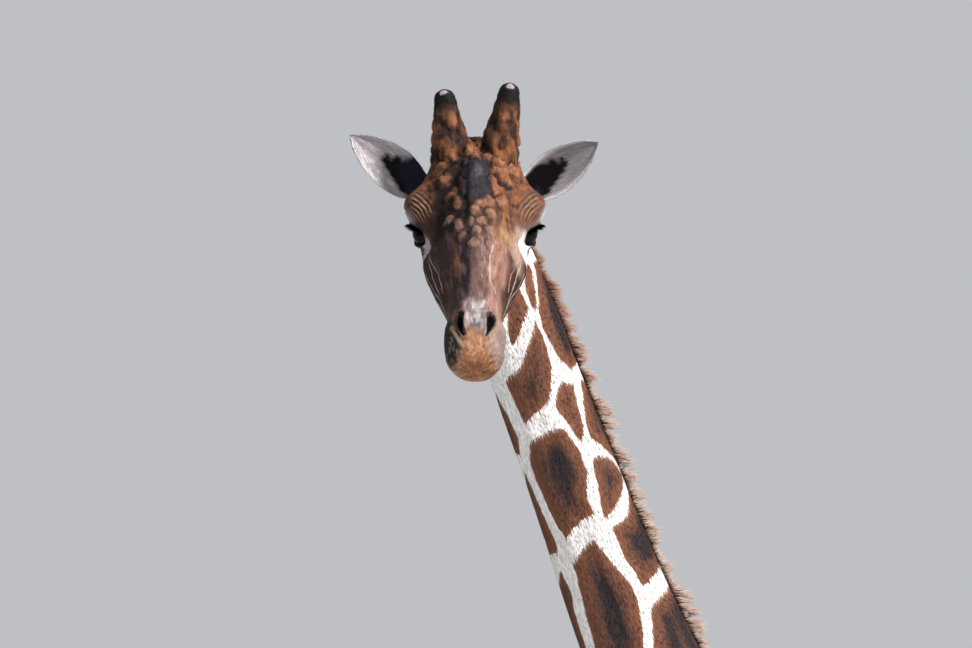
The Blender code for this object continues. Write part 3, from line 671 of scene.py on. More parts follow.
# %% Ossicones
OSSICONES = {
    "left": ((-0.118, 0.046, 0.098), (-0.196, 0.075, 0.252)),
    "right": ((-0.118, -0.046, 0.098), (-0.190, -0.066, 0.240)),
}
OSSICONE_AT = (0.0, 0.3, 0.5, 0.7, 0.84, 0.92, 0.97, 1.0)
OSSICONE_RADIUS = (0.046, 0.040, 0.034, 0.028, 0.0248, 0.0222, 0.0165, 0.006)
OSSICONE_COAT = 0.001
HORN_KNOB, HORN_KNOB_HEIGHT = 0.026, 0.0075


def rooted_frame(ends, toward):
    """Root and tip of a horn or an ear, its axis, and two ways square to it."""
    root, tip = (head_place(*point) for point in ends)
    axis = (tip - root) / np.linalg.norm(tip - root)
    first = toward - axis * (toward @ axis)
    first /= np.linalg.norm(first)
    return root, tip, axis, first, np.cross(axis, first)


def ossicone_rings(side, at, angle):
    """Round rings, roughened by lumps that fade towards the smooth knob."""
    foot, tip, _, first, second = rooted_frame(OSSICONES[side], TOWARD)
    radius = flow(OSSICONE_AT, OSSICONE_RADIUS, at) - OSSICONE_COAT
    across, up = oval(angle, radius, radius, radius, 2.0)
    centre = (foot + at[:, None] * (tip - foot))[:, None]
    way = across[..., None] * first + up[..., None] * second
    spot = centre + way
    rough = HORN_KNOB_HEIGHT * (pebbles(spot, HORN_KNOB, 9) - 0.6) * ease(0.75, 0.25, at)[:, None]
    rough = rough + 0.0022 * lumps(spot, 0.014, 3) + 0.0010 * lumps(spot, 0.006, 4)
    rough = rough * ease(0.94, 0.80, at)[:, None] - 0.001
    return centre + way * (1 + rough / radius[:, None])[..., None]


# %% Ears
EARS = {
    "left": ((-0.145, 0.088, 0.002), (-0.185, 0.256, 0.114)),
    "right": ((-0.145, -0.088, 0.002), (-0.190, -0.260, 0.128)),
}
EAR_AT = (0.0, 0.12, 0.25, 0.40, 0.55, 0.70, 0.83, 0.93, 1.0)
EAR_HALF_WIDTH = (0.022, 0.029, 0.040, 0.0465, 0.046, 0.039, 0.028, 0.016, 0.004)
EAR_CUP = mm(26, 28, 26, 23, 19, 14, 9, 5, 2)
EAR_THICK = 0.0075
EAR_EDGE = 0.0030
EAR_COAT = 0.0010
EAR_OPENS = TOWARD - 0.05 * UPRIGHT


def ear_rings(side, at, half_count):
    """Crescents: the cup's inside one way, then its back the other, a skin's thickness behind."""
    root, tip, _, opening, across = rooted_frame(EARS[side], EAR_OPENS)
    share = np.sin(np.linspace(-np.pi / 2, np.pi / 2, half_count + 1))
    width = flow(EAR_AT, EAR_HALF_WIDTH, at)[:, None] - EAR_COAT
    cup = flow(EAR_AT, EAR_CUP, at)[:, None]
    thick = np.minimum(EAR_THICK, width * 0.9)
    edge = np.minimum(EAR_EDGE, width * 0.5)
    front = -cup * (1 - share**2) ** 0.9
    front = front + 0.0012 * np.sin(share * 9) * (1 - share**2) * ease(0.2, 0.5, at)[:, None]
    back = -cup * (1 - share**2) - edge - (thick - edge) * (1 - share**2)
    ring_across = np.concatenate((width * share, (width * share)[:, -2:0:-1]), axis=1)
    ring_open = np.concatenate((front, back[:, -2:0:-1]), axis=1)
    centre = root + at[:, None] * (tip - root)
    return placed(centre, ring_across, across, ring_open, opening)


# %% [markdown]
# ## One skin
#
# A real hide has no seam, so the tubes are fused into one closed mesh. Blender's Boolean union
# joins them, and it leaves sharp creases where they cross. Those creases are found as the points
# that belong to no tube, and the mesh is relaxed round them, most at the crease and less with
# each step away, which makes the soft webs of skin between leg and belly or ear and skull.

# %% Fuse the tubes
def tube_faces(rings):
    """Points and triangles of closed rings with a fan over each end, facing outwards."""
    count, around, _ = rings.shape
    points = np.concatenate((rings.reshape(-1, 3), rings[:1].mean(axis=1), rings[-1:].mean(axis=1)))
    k = np.arange(around)
    after = (k + 1) % around
    row = (np.arange(count - 1) * around)[:, None]
    lower = np.stack((row + k, row + after, row + around + after), axis=-1).reshape(-1, 3)
    upper = np.stack((row + k, row + around + after, row + around + k), axis=-1).reshape(-1, 3)
    last = (count - 1) * around
    first_fan = np.stack((after, k, np.full(around, count * around)), axis=-1)
    last_fan = np.stack((last + k, last + after, np.full(around, count * around + 1)), axis=-1)
    triangles = np.concatenate((lower, upper, first_fan, last_fan))
    a, b, c = (points[triangles[:, i]] for i in range(3))
    if np.einsum("ij,ij->", a, np.cross(b, c)) < 0:
        triangles = triangles[:, ::-1]
    return points, triangles


def mesh_of(name, points, triangles):
    """A mesh from arrays of points and triangles."""
    mesh = bpy.data.meshes.new(name)
    mesh.vertices.add(len(points))
    mesh.vertices.foreach_set("co", points.astype(np.float32).ravel())
    mesh.loops.add(triangles.size)
    mesh.loops.foreach_set("vertex_index", triangles.astype(np.int32).ravel())
    mesh.polygons.add(len(triangles))
    mesh.polygons.foreach_set("loop_start", np.arange(0, triangles.size, 3, dtype=np.int32))
    mesh.update(calc_edges=True)
    return mesh


def in_scene(name, data):
    """A new object with this data, linked to the scene."""
    thing = bpy.data.objects.new(name, data)
    bpy.context.scene.collection.objects.link(thing)
    return thing


def even_round(count):
    """Angles evenly spaced round a ring."""
    return np.arange(count) / count * 2 * np.pi


half_round = crowded(0, np.pi, HEAD_HALF_ROUND + 1, (0.2, 0.55, 1.1), (1.45, 0.28, 1.6))
head_round = np.concatenate((half_round[:-1], 2 * np.pi - half_round[:0:-1]))
head_at = crowded(HEAD_AT[0], HEAD_AT[-1], HEAD_RINGS, (0.0, 0.07, 1.3), (0.355, 0.05, 1.4))
neck_at = crowded(-0.07, 2.22, 160, (0.3, 0.7, 1.0))
trunk_at = crowded(TRUNK_Y[0], TRUNK_Y[-1], 150, (-1.0, 0.10, 1.0), (1.0, 0.10, 1.0))
ear_at = crowded(0.0, 1.0, 60, (1.0, 0.1, 1.5))

tubes = {
    "trunk": trunk_rings(trunk_at, even_round(140)),
    "neck": neck_rings(neck_at, even_round(104)),
    "head": head_rings(head_at, head_round),
    "tail": tail_rings(np.linspace(0.0, TAIL_ROPE_END, 60), even_round(18)),
}
for leg, (leg_sizes, _, _) in LEGS.items():
    levels = crowded(HOOF_TOP + 0.001, leg_sizes[0, -1], 112, (0.2, 0.2, 0.8), (1.0, 0.15, 0.6))
    tubes["leg_" + leg] = leg_rings(leg, levels, even_round(42))
for side in EARS:
    tubes["ear_" + side] = ear_rings(side, ear_at, 22)

pieces = []
for name, rings in tubes.items():
    pieces.append(in_scene("tube_" + name, mesh_of(name, *tube_faces(rings))))
fused = pieces[0]
for piece in pieces[1:]:
    join = fused.modifiers.new(piece.name, "BOOLEAN")
    join.operation = "UNION"
    join.object = piece
    join.solver = "MANIFOLD"
evaluated = fused.evaluated_get(bpy.context.evaluated_depsgraph_get())
whole = bpy.data.meshes.new_from_object(evaluated)
for piece in pieces:
    bpy.data.objects.remove(piece)
whole.calc_loop_triangles()
skin_points = np.empty((len(whole.vertices), 3))
whole.vertices.foreach_get("co", skin_points.ravel())
skin_triangles = np.empty((len(whole.loop_triangles), 3), np.int64)
whole.loop_triangles.foreach_get("vertices", skin_triangles.ravel())
print("fused skin:", len(skin_points), "points", len(skin_triangles), "triangles")

# %% Relax the creases
EASE_STEPS = 30
HOPS = 12
FADE_PER_HOP = 0.82


def point_key(points):
    """One whole number per point, the same for points closer than a hundredth of a millimetre."""
    steps = np.round((points.astype(np.float32).astype(float) + 8) * 1e5).astype(np.int64)
    return (steps[:, 0] << 42) + (steps[:, 1] << 21) + steps[:, 2]


edges = np.concatenate((skin_triangles[:, :2], skin_triangles[:, 1:], skin_triangles[:, ::2]))
edges = np.unique(np.sort(edges, axis=1), axis=0)
one_end = np.concatenate((edges[:, 0], edges[:, 1]))
other_end = np.concatenate((edges[:, 1], edges[:, 0]))
neighbours = np.bincount(one_end, minlength=len(skin_points))


def neighbour_mean(values):
    """The mean of each point's neighbours, for one value or a row of values per point."""
    columns = values.reshape(len(values), -1)
    count = len(values)
    sums = [np.bincount(one_end, weights=column[other_end], minlength=count) for column in columns.T]
    return (np.stack(sums, axis=1) / neighbours[:, None]).reshape(values.shape)


def smoothed(values, times):
    """The values after every point has taken its neighbours' mean a number of times."""
    for _ in range(times):
        values = neighbour_mean(values)
    return values


tube_points = np.concatenate([rings.reshape(-1, 3) for rings in tubes.values()])
tube_keys = point_key(tube_points)
order = np.argsort(tube_keys)
found = np.clip(np.searchsorted(tube_keys[order], point_key(skin_points)), 0, len(order) - 1)
source = order[found]
from_tube = tube_keys[source] == point_key(skin_points)
on_foot = skin_points[:, 2] < HOOF_TOP + 0.05
crease = (~from_tube & ~on_foot).astype(float)
strength = crease.copy()
for _ in range(HOPS):
    spread = np.zeros(len(strength))
    np.maximum.at(spread, one_end, strength[other_end])
    strength = np.maximum(strength, spread * FADE_PER_HOP)
strength = np.where(strength < FADE_PER_HOP**HOPS * 1.01, 0, strength)
for _ in range(EASE_STEPS):
    step = neighbour_mean(skin_points) - skin_points
    skin_points = skin_points + step * (strength * 0.6)[:, None]
print("points on creases:", int(crease.sum()), "moved:", int((strength > 0).sum()))

# %% [markdown]
# ## Which way the hair lies
#
# Hair leans along the rings' paths: down the neck, back along the trunk, down the legs and back
# over the face. Every tube knows its own way, and the ways are blended over the creases, as a
# coat flows on a real animal. The tubes also give each point straightened coordinates, which
# comb the noise of the hair's colour along the coat.

# %% Lie of the coat
def tube_lie(name, rings):
    """The unit step from ring to ring at every ring point."""
    lie = np.gradient(rings, axis=0).reshape(-1, 3)
    if name.startswith("leg") or name == "head":
        lie = -lie
    return unit(lie)


def tube_straight(rings):
    """Straightened coordinates: round by arc length and along by distance, then shares of both."""
    count, around, _ = rings.shape
    step = np.linalg.norm(np.roll(rings, -1, axis=1) - rings, axis=2)
    across = np.cumsum(step, axis=1) - step
    along = np.cumsum(np.linalg.norm(np.gradient(rings.mean(axis=1), axis=0), axis=1))
    along = np.broadcast_to(along[:, None], across.shape)
    share_along = np.broadcast_to(np.linspace(0, 1, count)[:, None], across.shape)
    share_round = np.broadcast_to(np.arange(around) / around, across.shape)
    return np.stack((across, along, share_along, share_round), axis=-1).reshape(-1, 4)


tube_names = list(tubes)
tube_number = np.concatenate([np.full(rings[..., 0].size, i) for i, rings in enumerate(tubes.values())])
lie = np.concatenate([tube_lie(name, rings) for name, rings in tubes.items()])[source]
straight = np.concatenate([tube_straight(rings) for rings in tubes.values()])[source]
part_of = tube_number[source]
lie = lie * from_tube[:, None]
for _ in range(14):
    lie = np.where(from_tube[:, None], lie, neighbour_mean(lie))
for _ in range(6):
    lie = lie + (neighbour_mean(lie) - lie) * np.clip(strength, 0.15, 1)[:, None]
known = from_tube.copy()
while not known.all():
    border = known[other_end] & ~known[one_end]
    if not border.any():
        break
    straight[one_end[border]] = straight[other_end[border]]
    part_of[one_end[border]] = part_of[other_end[border]]
    known[one_end[border]] = True


def point_normals(points, triangles):
    """Outward unit way at each point, the mean of its triangles' by area, and those areas."""
    corners = points[triangles]
    across = np.cross(corners[:, 1] - corners[:, 0], corners[:, 2] - corners[:, 0])
    total = np.zeros_like(points)
    for corner in range(3):
        for i in range(3):
            total[:, i] += np.bincount(triangles[:, corner], weights=across[:, i], minlength=len(points))
    length = np.linalg.norm(total, axis=1, keepdims=True)
    return total / np.maximum(length, 1e-12), np.linalg.norm(across, axis=1) / 2


normal, face_area = point_normals(skin_points, skin_triangles)
lie = unit(lie - normal * dot(lie, normal))
print("hide area", round(float(face_area.sum()), 2), "m2")

# %% [markdown]
# ## The net
#
# A reticulated giraffe wears large liver-red patches parted by narrow white lines. Patches like
# these spread from centres until they meet, so most are made that way: each point of the hide
# belongs to the nearest centre, and a white line runs where two centres are equally near. On the
# neck and legs the patches are long, so distance counts for less along the limb. The patches
# that make this animal himself, on the left of the neck, are drawn on an unrolled neck.

# %% Patches drawn on the neck
# Corners of each patch: down the neck in centimetres, round it in degrees from nape to left.
NECK_PATCHES = (
    ((0, 20), (0, 54), (8, 56), (10, 40), (10, -5), (2, -5)),  # behind the ear
    ((0, 84), (8, 80), (13, 95), (13, 118), (4, 128)),
    ((11, 64), (15, 61), (22, 72), (22, 84), (17, 86)),  # slim one under the ear
    ((16, 97), (21, 91), (23, 101), (27, 124), (27, 134), (21, 126), (18, 120)),
    ((23, 73), (17, 56), (13, 48), (13, -5), (36, -5), (37, 48), (34, 62), (27, 75)),
    ((24, 85), (27, 80), (34, 80), (41, 103), (42, 120), (44, 148), (34, 156), (32, 126), (28, 104)),
    ((38, 71), (40, 56), (49, 65), (52, 79), (50, 85), (43, 96), (40, 90)),
    ((40, 38), (41, -5), (58, -5), (60, 14), (56, 40), (52, 60), (48, 58)),
    ((47, 111), (48, 98), (53, 87), (58, 85), (62, 100), (67, 101),
     (67, 121), (70, 146), (66, 155), (53, 162), (48, 150)),
    ((56, 74), (56, 56), (58, 36), (62, 17), (65, 38), (69, 88), (62, 80)),
    ((64, 14), (66, -5), (82, -5), (84, 42), (85, 70), (76, 81), (71, 82), (70, 48)),
    ((72, 112), (80, 95), (83, 86), (87, 84), (97, 102),
     (107, 125), (103, 160), (82, 153), (75, 148), (73, 132)),
    ((90, 70), (89, 55), (87, -5), (110, -5), (113, 29), (108, 108), (98, 92)),
    ((6, 152), (14, 145), (27, 158), (32, 196), (8, 198)),  # down the throat
    ((36, 186), (42, 170), (46, 165), (50, 176), (50, 198), (40, 200)),
    ((54, 180), (62, 170), (72, 162), (73, 190), (58, 198)),
    ((76, 170), (80, 165), (87, 171), (102, 172), (104, 196), (80, 198)),
)
HAND_FOOT = 1.125
THROAT_SHORTER = 0.085  # the drawn part ends earlier on the throat
HAND_SIDES = (math.radians(-8), math.radians(205))


def neck_reach(station):
    """The neck's middling radius, which turns degrees into metres round it."""
    return flow(NECK_SIZE_AT, (NECK_HALF_WIDTH + NECK_NAPE) / 2, station)


def neck_map(points):
    """Metres down the neck and radians round it, from the nearest place on the neck's path."""
    at = np.linspace(-0.15, 2.3, 246)
    middle = neck_frames(at)[0]
    squared = (middle**2).sum(axis=1) - 2 * points @ middle.T
    station = at[np.argmin(squared, axis=1)]
    for _ in range(2):
        middle, down, left, nape = neck_frames(station)
        station = station + np.sum((points - middle) * down, axis=1)
    middle, down, left, nape = neck_frames(station)
    offset = points - middle
    turn = np.arctan2(dot(offset, left), dot(offset, nape))[:, 0]
    return station, (turn + 1.2) % (2 * np.pi) - 1.2


def inside_outline(place, corners):
    """Distance in a plane to a closed outline of straight stretches, positive inside it."""
    nearest_yet = np.full(len(place), 1.0)
    inside = np.zeros(len(place), bool)
    for start, end in zip(corners, np.roll(corners, -1, axis=0)):
        way = end - start
        share = np.clip((place - start) @ way / (way @ way), 0, 1)
        far = np.linalg.norm(place - start - share[:, None] * way, axis=1)
        nearest_yet = np.minimum(nearest_yet, far)
        crosses = (start[1] > place[:, 1]) != (end[1] > place[:, 1])
        inside ^= crosses & (place[:, 0] < start[0] + (place[:, 1] - start[1]) * way[0] / (way[1] or 1e-9))
    return np.where(inside, nearest_yet, -nearest_yet)


def drawn_patches(points):
    """Distance into the drawn patches, which one it is, and the distance out of the drawn part."""
    station, turn = neck_map(points + 0.0030 * pushes(points, 0.020, 24))
    reach = neck_reach(station)
    place = np.stack((station, turn * reach), axis=1)
    best = np.full(len(points), -1.0)
    number = np.zeros(len(points), int)
    for i, patch in enumerate(NECK_PATCHES):
        at, degrees = np.array(patch).T
        corners = np.stack((at / 100, np.radians(degrees) * neck_reach(at / 100)), axis=1)
        into = inside_outline(place, corners)
        number = np.where(into > best, i, number)
        best = np.maximum(best, into)
    foot = HAND_FOOT - THROAT_SHORTER * ease(math.radians(150), math.radians(172), turn)
    outside = np.maximum(station - foot, np.maximum(HAND_SIDES[0] - turn, turn - HAND_SIDES[1]) * reach)
    return best, number, outside


# %% Centres of the other patches
LEG_LEVELS, LEG_SPACING = (0.0, 0.5, 1.0, 1.5, 2.1, 2.6), mm(75, 85, 110, 160, 240, 280)
NECK_STATIONS, NECK_SPACING = (0.0, 0.4, 0.9, 1.5, 2.3), mm(135, 150, 190, 250, 300)
TAIL_SPACING, TRUNK_SPACING = 0.07, 0.30
LENGTHEN = {"neck": 0.55, "leg": 0.72, "tail": 0.8, "trunk": 0.92, "head": 1.0, "ear": 1.0}
height_of = skin_points[:, 2]
kind = np.array([name.split("_")[0] for name in tube_names])[part_of]
shorten = smoothed(np.select([kind == name for name in LENGTHEN], list(LENGTHEN.values())), 25)
down_neck, _ = neck_map(skin_points)
drawn_on = np.isin(kind, ("neck", "head"))
out_of_drawn = np.where(drawn_on, drawn_patches(skin_points)[2], 1.0)


def warp(points):
    """Push points about a little, so that no line is straight."""
    return points + 0.013 * pushes(points, 0.075, 21) + 0.004 * pushes(points, 0.022, 24)


def spacing_wanted():
    """How far apart patch centres should be at each point of the hide, in metres."""
    on_leg = flow(LEG_LEVELS, LEG_SPACING, np.clip(height_of, 0, LEG_LEVELS[-1]))
    on_neck = flow(NECK_STATIONS, NECK_SPACING, down_neck.clip(0, NECK_STATIONS[-1]))
    parts_of_body = [kind == "leg", kind == "neck", kind == "tail"]
    return np.select(parts_of_body, [on_leg, on_neck, TAIL_SPACING], TRUNK_SPACING)


spacing = smoothed(spacing_wanted(), 15)
warped = warp(skin_points)


def far_from(centre):
    """Distance squared from a centre to every point of the hide, shortened along the limb."""
    offset = warped - centre
    along = np.sum(offset * lie, axis=1)
    return np.sum(offset**2, axis=1) - along**2 * (1 - shorten**2)


rng = np.random.default_rng(11)
uneven = 1 + 0.22 * rng.standard_normal(len(skin_points)).clip(-1.5, 1.5)
open_hide = (kind != "ear") & (kind != "head") & (out_of_drawn > 0.02)
centres = [skin_points[np.argmax(height_of * (kind == "trunk"))]]
squares = [far_from(centres[0])]
emptiness = squares[0].copy()
while True:
    pull = np.where(open_hide, np.sqrt(emptiness.clip(0)) / spacing * uneven, 0)
    best = int(np.argmax(pull))
    if pull[best] < 1.0 or len(centres) > 900:
        break
    centres.append(skin_points[best])
    squares.append(far_from(centres[-1]))
    emptiness = np.minimum(emptiness, squares[-1])
centres = np.array(centres)
print("patches drawn:", len(NECK_PATCHES), "patch centres:", len(centres))

# %% Distance to the white lines
LINE_HALF_WIDTH = 0.0060
CORNER_ROUND = 0.012
NEAREST = 8

near = np.argpartition(np.stack(squares, axis=1), NEAREST, axis=1)[:, :NEAREST]
low_leg = ease(0.75, 0.15, height_of) * (kind == "leg")
half_line = LINE_HALF_WIDTH + 0.0025 * (kind == "trunk") + 0.030 * low_leg
half_line = smoothed(half_line + 0.004 * ease(1.6, 0.9, height_of), 4)
widens = smoothed(np.select([kind == "neck", kind == "leg"], [0.009, 0.004], 0.002), 4)


def net_at(hide):
    """Distance into a patch at points of the hide, negative on a white line, and which patch."""
    points, ways, shorter = hide["points"], hide["lie"], hide["shorten"] ** 2
    offset = warp(points)[:, None] - centres[hide["near"]]
    along = np.sum(offset * ways[:, None], axis=2)
    squared = np.sum(offset**2, axis=2) - along**2 * (1 - shorter)[:, None]
    in_order = np.argsort(squared, axis=1)
    squared = np.take_along_axis(squared, in_order, axis=1)
    nearest = np.take_along_axis(hide["near"], in_order, axis=1)
    into = np.full(len(points), 9.0)
    for k in range(1, NEAREST):
        apart = centres[nearest[:, 0]] - centres[nearest[:, k]]
        slope = apart - ways * (dot(apart, ways) * (1 - shorter)[:, None])
        slope = 2 * (slope - hide["normal"] * dot(slope, hide["normal"]))
        steep = np.maximum(np.linalg.norm(slope, axis=1), 1e-4)
        across_limb = np.abs(np.sum(slope * ways, axis=1)) / steep
        line = hide["half_line"] + hide["widens"] * across_limb
        distance = (squared[:, k] - squared[:, 0]) / steep - line
        gap = np.clip(0.5 + 0.5 * (distance - into) / CORNER_ROUND, 0, 1)
        into = distance + (into - distance) * gap - CORNER_ROUND * gap * (1 - gap)
    into = into + 0.0020 * lumps(points, 0.030, 31)
    number = nearest[:, 0]
    drawn = hide["drawn_on"] > 0.5
    best, which, outside = drawn_patches(points[drawn])
    spread = np.minimum(into[drawn], outside - 0.004)
    number[drawn] = np.where(best > spread, len(centres) + which, number[drawn])
    into[drawn] = np.maximum(best, spread)
    return np.clip(into, -0.05, 0.09), number


# Tones run from -1 to 1 on the neck and are set 4 lower elsewhere, where patches are less dark.
patch_tones = np.random.default_rng(5).uniform(-1, 1, len(centres) + len(NECK_PATCHES))
patch_tones[: len(centres)] -= 4.0
hide_values = {
    "points": skin_points, "normal": normal, "lie": lie, "shorten": shorten, "near": near,
    "half_line": half_line, "widens": widens, "drawn_on": drawn_on,
}
edge, patch_number = net_at(hide_values)
tone = patch_tones[patch_number]
print("share of the hide in patches:", round(float((edge > 0).mean()), 2))

# %% [markdown]
# ## Colours of the face
#
# The net stops at the head. The face is rust-red and dark between the knobs, purple grey down
# the nose, pale over the nostrils and tan on the lips, with white round the eyes and thin pale
# lines down the cheeks. A painter would lay these on with soft brushes, and so does this cell:
# each stroke is a soft mask in the head's own frame, and later strokes cover earlier ones.
# Some strokes paint light and shade too: shade on the right of the face, in the hollows between the knobs
# and in the wrinkles, and light on the left.

# %% Paint the face
def shade(red, green, blue):
    """A colour as the eye names it, 0 to 255, as the linear light that shaders need."""
    value = np.array([red, green, blue]) / 255
    return np.where(value < 0.04045, value / 12.92, ((value + 0.055) / 1.055) ** 2.4)


def mix(first, second, share):
    """Two colours mixed at each point, the second as far as its share says."""
    return first + (second - first) * share[:, None]


RUST = shade(146, 92, 62)
SOOT = shade(44, 34, 33)
LIVER = shade(94, 62, 54)
PLUM = shade(106, 82, 78)
SLATE = shade(46, 44, 50)
ASH = shade(150, 143, 146)
TAN = shade(168, 122, 92)
CLAY = shade(118, 80, 64)
MILK = shade(236, 232, 234)
CREAM = shade(222, 206, 190)
LILAC = shade(192, 178, 190)
PITCH = shade(20, 17, 18)
GOLD = shade(166, 112, 72)
ROSE = shade(158, 122, 110)

a, o, u = in_head(skin_points)
side = np.abs(o)
packed, single = bone_knobs(a, o, u)
front = ease(-0.01, 0.04, u + 0.25 * a)
mottle = lumps(skin_points, 0.016, 41)
flecks = lumps(skin_points, 0.007, 42)
# Streaks that run along the face, some broad and some fine.
streaks = lumps(np.stack((a * 0.22, o, u * 0.5), axis=1), 0.010, 43)
fibres = lumps(np.stack((a * 0.20, o, u * 0.5), axis=1), 0.0050, 44)
paint = np.ones((len(skin_points), 3)) * CLAY


def stroke(colour, mask):
    """Cover the paint with a colour as far as the mask says."""
    paint[:] = mix(paint, colour, np.clip(mask, 0, 1))


def line_distance(first, second, line):
    """Distance in a plane to a line of straight stretches."""
    here = np.stack((first, second), axis=-1)
    nearest_yet = np.full(len(here), 0.03)
    for start, end in zip(line[:-1], line[1:]):
        start, end = np.array(start), np.array(end)
        share = np.clip(((here - start) @ (end - start)) / ((end - start) @ (end - start)), 0, 1)
        far = np.linalg.norm(here - start - share[:, None] * (end - start), axis=1)
        nearest_yet = np.minimum(nearest_yet, far)
    return nearest_yet


def band(values, low, high, blur):
    """1 between two values, with blurred ends."""
    return ease(low - blur, low + blur, values) * ease(high + blur, high - blur, values)


# Forehead: liver, with soot in the hollows that is partly painted shade; the right of the face is darker,
# partly its own colour and partly painted shade, and the left is golden, partly painted light.
# The right of the face: strokes below darken it, partly its own colour and partly painted shade.
on_shaded_right = ease(0.014, -0.012, o)
blotch = lumps(skin_points, 0.034, 47) + 0.6 * mottle
stroke(LIVER * 0.85, band(a, -0.05, 0.26, 0.05) * ease(0.05, 0.085, side))
bony = knobbly(a, o, u)
brow_land = front * band(a, -0.16, 0.14, 0.04) * ease(0.100, 0.070, side)
stroke(LIVER * 0.9, brow_land * 0.9)
# Gold only on the left of the forehead: partly its colour, partly painted light.
golden = (1 - on_shaded_right) * band(a, -0.05, 0.15, 0.03) * ease(-0.5, 0.8, streaks + 0.8 * flecks)
stroke(GOLD * 0.85, brow_land * golden * 0.8)
# Soot over the right of the forehead: partly dark hair, partly painted shade.
stroke(SOOT, brow_land * on_shaded_right * (0.55 + 0.45 * ease(-0.5, 0.4, blotch)))
stroke(SOOT, brow_land * ease(0.05, 0.55, blotch + 0.4 * flecks) * 0.75)
stroke(SOOT, brow_land * ease(0.15, 0.6, fibres - 0.3 * mottle) * 0.7)
# Rust on the pebbles' tops and gold on the highest, partly their colour and partly painted light on the
# crests; less rust on the right is painted shade.
rusty = np.clip(packed * 1.8 - 0.40 + 0.35 * mottle, 0, 1)
stroke(RUST * 0.95, bony * rusty * (0.90 - 0.45 * on_shaded_right * band(a, -0.08, 0.06, 0.02)))
stroke(GOLD * 1.05, bony * ease(0.62, 0.85, packed + 0.10 * flecks) * ease(-0.02, -0.06, a) * 0.8)
# Dark on the right of the forehead: partly its own colour, partly painted shade.
dark_and_shaded_side = front * band(a, -0.085, 0.10, 0.018) * band(o, -0.082, -0.014, 0.012)
stroke(SOOT * 0.36, dark_and_shaded_side * (0.84 + 0.3 * ease(-0.3, 0.3, mottle + 0.5 * fibres)))
beside_brow = front * band(a, -0.03, 0.085, 0.02) * band(o, -0.103, -0.066, 0.012)
stroke(SOOT * 0.5, beside_brow * (0.45 + 0.3 * fibres).clip(0, 1))
# Painted shade in the gaps between the pebbles.
stroke(SOOT * 0.5, bony * ease(0.34, 0.14, packed) * 0.95)
# Nose: dark on its right, plum along the middle, paler and rosy on its left.
nose = front * band(a, 0.095, 0.315, 0.03)
stroke(shade(62, 46, 45), nose * ease(-0.018, -0.032, o) * 0.95)
stroke(PLUM, nose * band(o, -0.020, 0.026, 0.007) * 0.95)
stroke(ROSE * 0.85, nose * ease(0.020, 0.034, o) * ease(0.075, 0.060, side) * 0.90)
stroke(shade(120, 76, 58), nose * ease(0.10, 0.5, streaks) * 0.55 * ease(0.030, 0.016, a - 0.21))
golden = band(a, 0.09, 0.16, 0.02) * band(o, 0.038, 0.052, 0.007) * ease(-0.5, 0.5, fibres)
stroke(GOLD * 1.15, front * golden * 0.8)
nose_dark = band(a, 0.10, 0.272, 0.022) * band(o + 0.004 * fibres, -0.030, -0.009, 0.004)
stroke(shade(40, 33, 38), front * nose_dark * (0.70 + 0.5 * ease(-0.4, 0.3, fibres)))
stroke(SOOT, nose * ease(0.15, 0.55, fibres) * 0.45 * ease(0.065, 0.03, side))
# Pale streaks down the nose, fewer on the right as painted shade.
stroke(shade(176, 152, 146), nose * ease(0.30, 0.65, -fibres) * (0.30 - 0.18 * on_shaded_right))
# Streaky dark before the right brow, partly its colour and partly painted shade, and a pale tan swelling
# before the left eye.
before_brow = front * band(a, -0.05, 0.10, 0.02) * band(side, 0.048, 0.092, 0.012)
stroke(SOOT * 0.8, before_brow * on_shaded_right * ease(-0.35, 0.35, streaks + 0.6 * fibres) * 0.85)
stroke(SOOT, before_brow * (1 - on_shaded_right) * ease(0.1, 0.6, fibres + 0.5 * mottle) * 0.6)
stroke(shade(170, 132, 100), bell(np.hypot(a - 0.090, o - 0.066), 0.017) * 0.75)
brow_side = front * band(a, -0.16, 0.035, 0.03) * ease(0.072, 0.088, side)
# Round the brows: less rust and more soot on the right, as painted shade.
stroke(RUST * 0.88, brow_side * ease(-0.3, 0.5, flecks + 0.5 * streaks) * (0.65 - 0.35 * on_shaded_right))
stroke(SOOT, brow_side * ease(0.05, 0.75, -flecks - 0.6 * mottle) * (0.40 + 0.40 * on_shaded_right))
# Single knobs: rust on top, and a dark ring round each as painted shade where it meets the skin.
ring = np.clip(single * 5, 0, 1) * np.clip(1.30 - single * 2.6, 0, 1)
stroke(SOOT * 0.7, ring * front * (0.80 - 0.30 * ease(0.02, 0.04, o)))
knob_colour = mix(shade(150, 101, 74), shade(150, 114, 100), ease(0.0, 0.08, a))
# Knobs lighter or darker at random, and darker on the right as painted shade.
knob_light = 0.82 + 0.40 * flecks + 0.25 * lumps(skin_points, 0.030, 48) - 0.25 * on_shaded_right
stroke(knob_colour * knob_light[:, None], ease(0.30, 0.62, single + 0.06 * flecks) * front * 0.92)
# Furrow and median horn.
stroke(PITCH, bell(o + 0.017 + 0.003 * mottle, 0.0065) * band(a, -0.07, 0.085, 0.012) * front * 0.95)
horn = bell(np.hypot((a + 0.030) / 2.1, o - 0.005 + 0.003 * mottle), 0.027) + 0.15 * mottle
stroke(SLATE, ease(0.22, 0.45, horn) * front)
stroke(shade(92, 88, 96), ease(0.80, 0.98, horn) * front * 0.5)
# Muzzle: ash over the nostrils, grey sides with painted shade on the right and painted light on the left,
# tan lips streaked with dark.
ash = band(a + 0.012 * mottle, 0.285, 0.350, 0.012) * ease(0.038, 0.020, side + 0.010 * mottle)
stroke(ASH, front * ash * (0.35 + 0.65 * ease(-0.5, 0.2, flecks + 0.7 * fibres)))
stroke(MILK, front * ash * ease(0.15, 0.6, fibres) * 0.25)
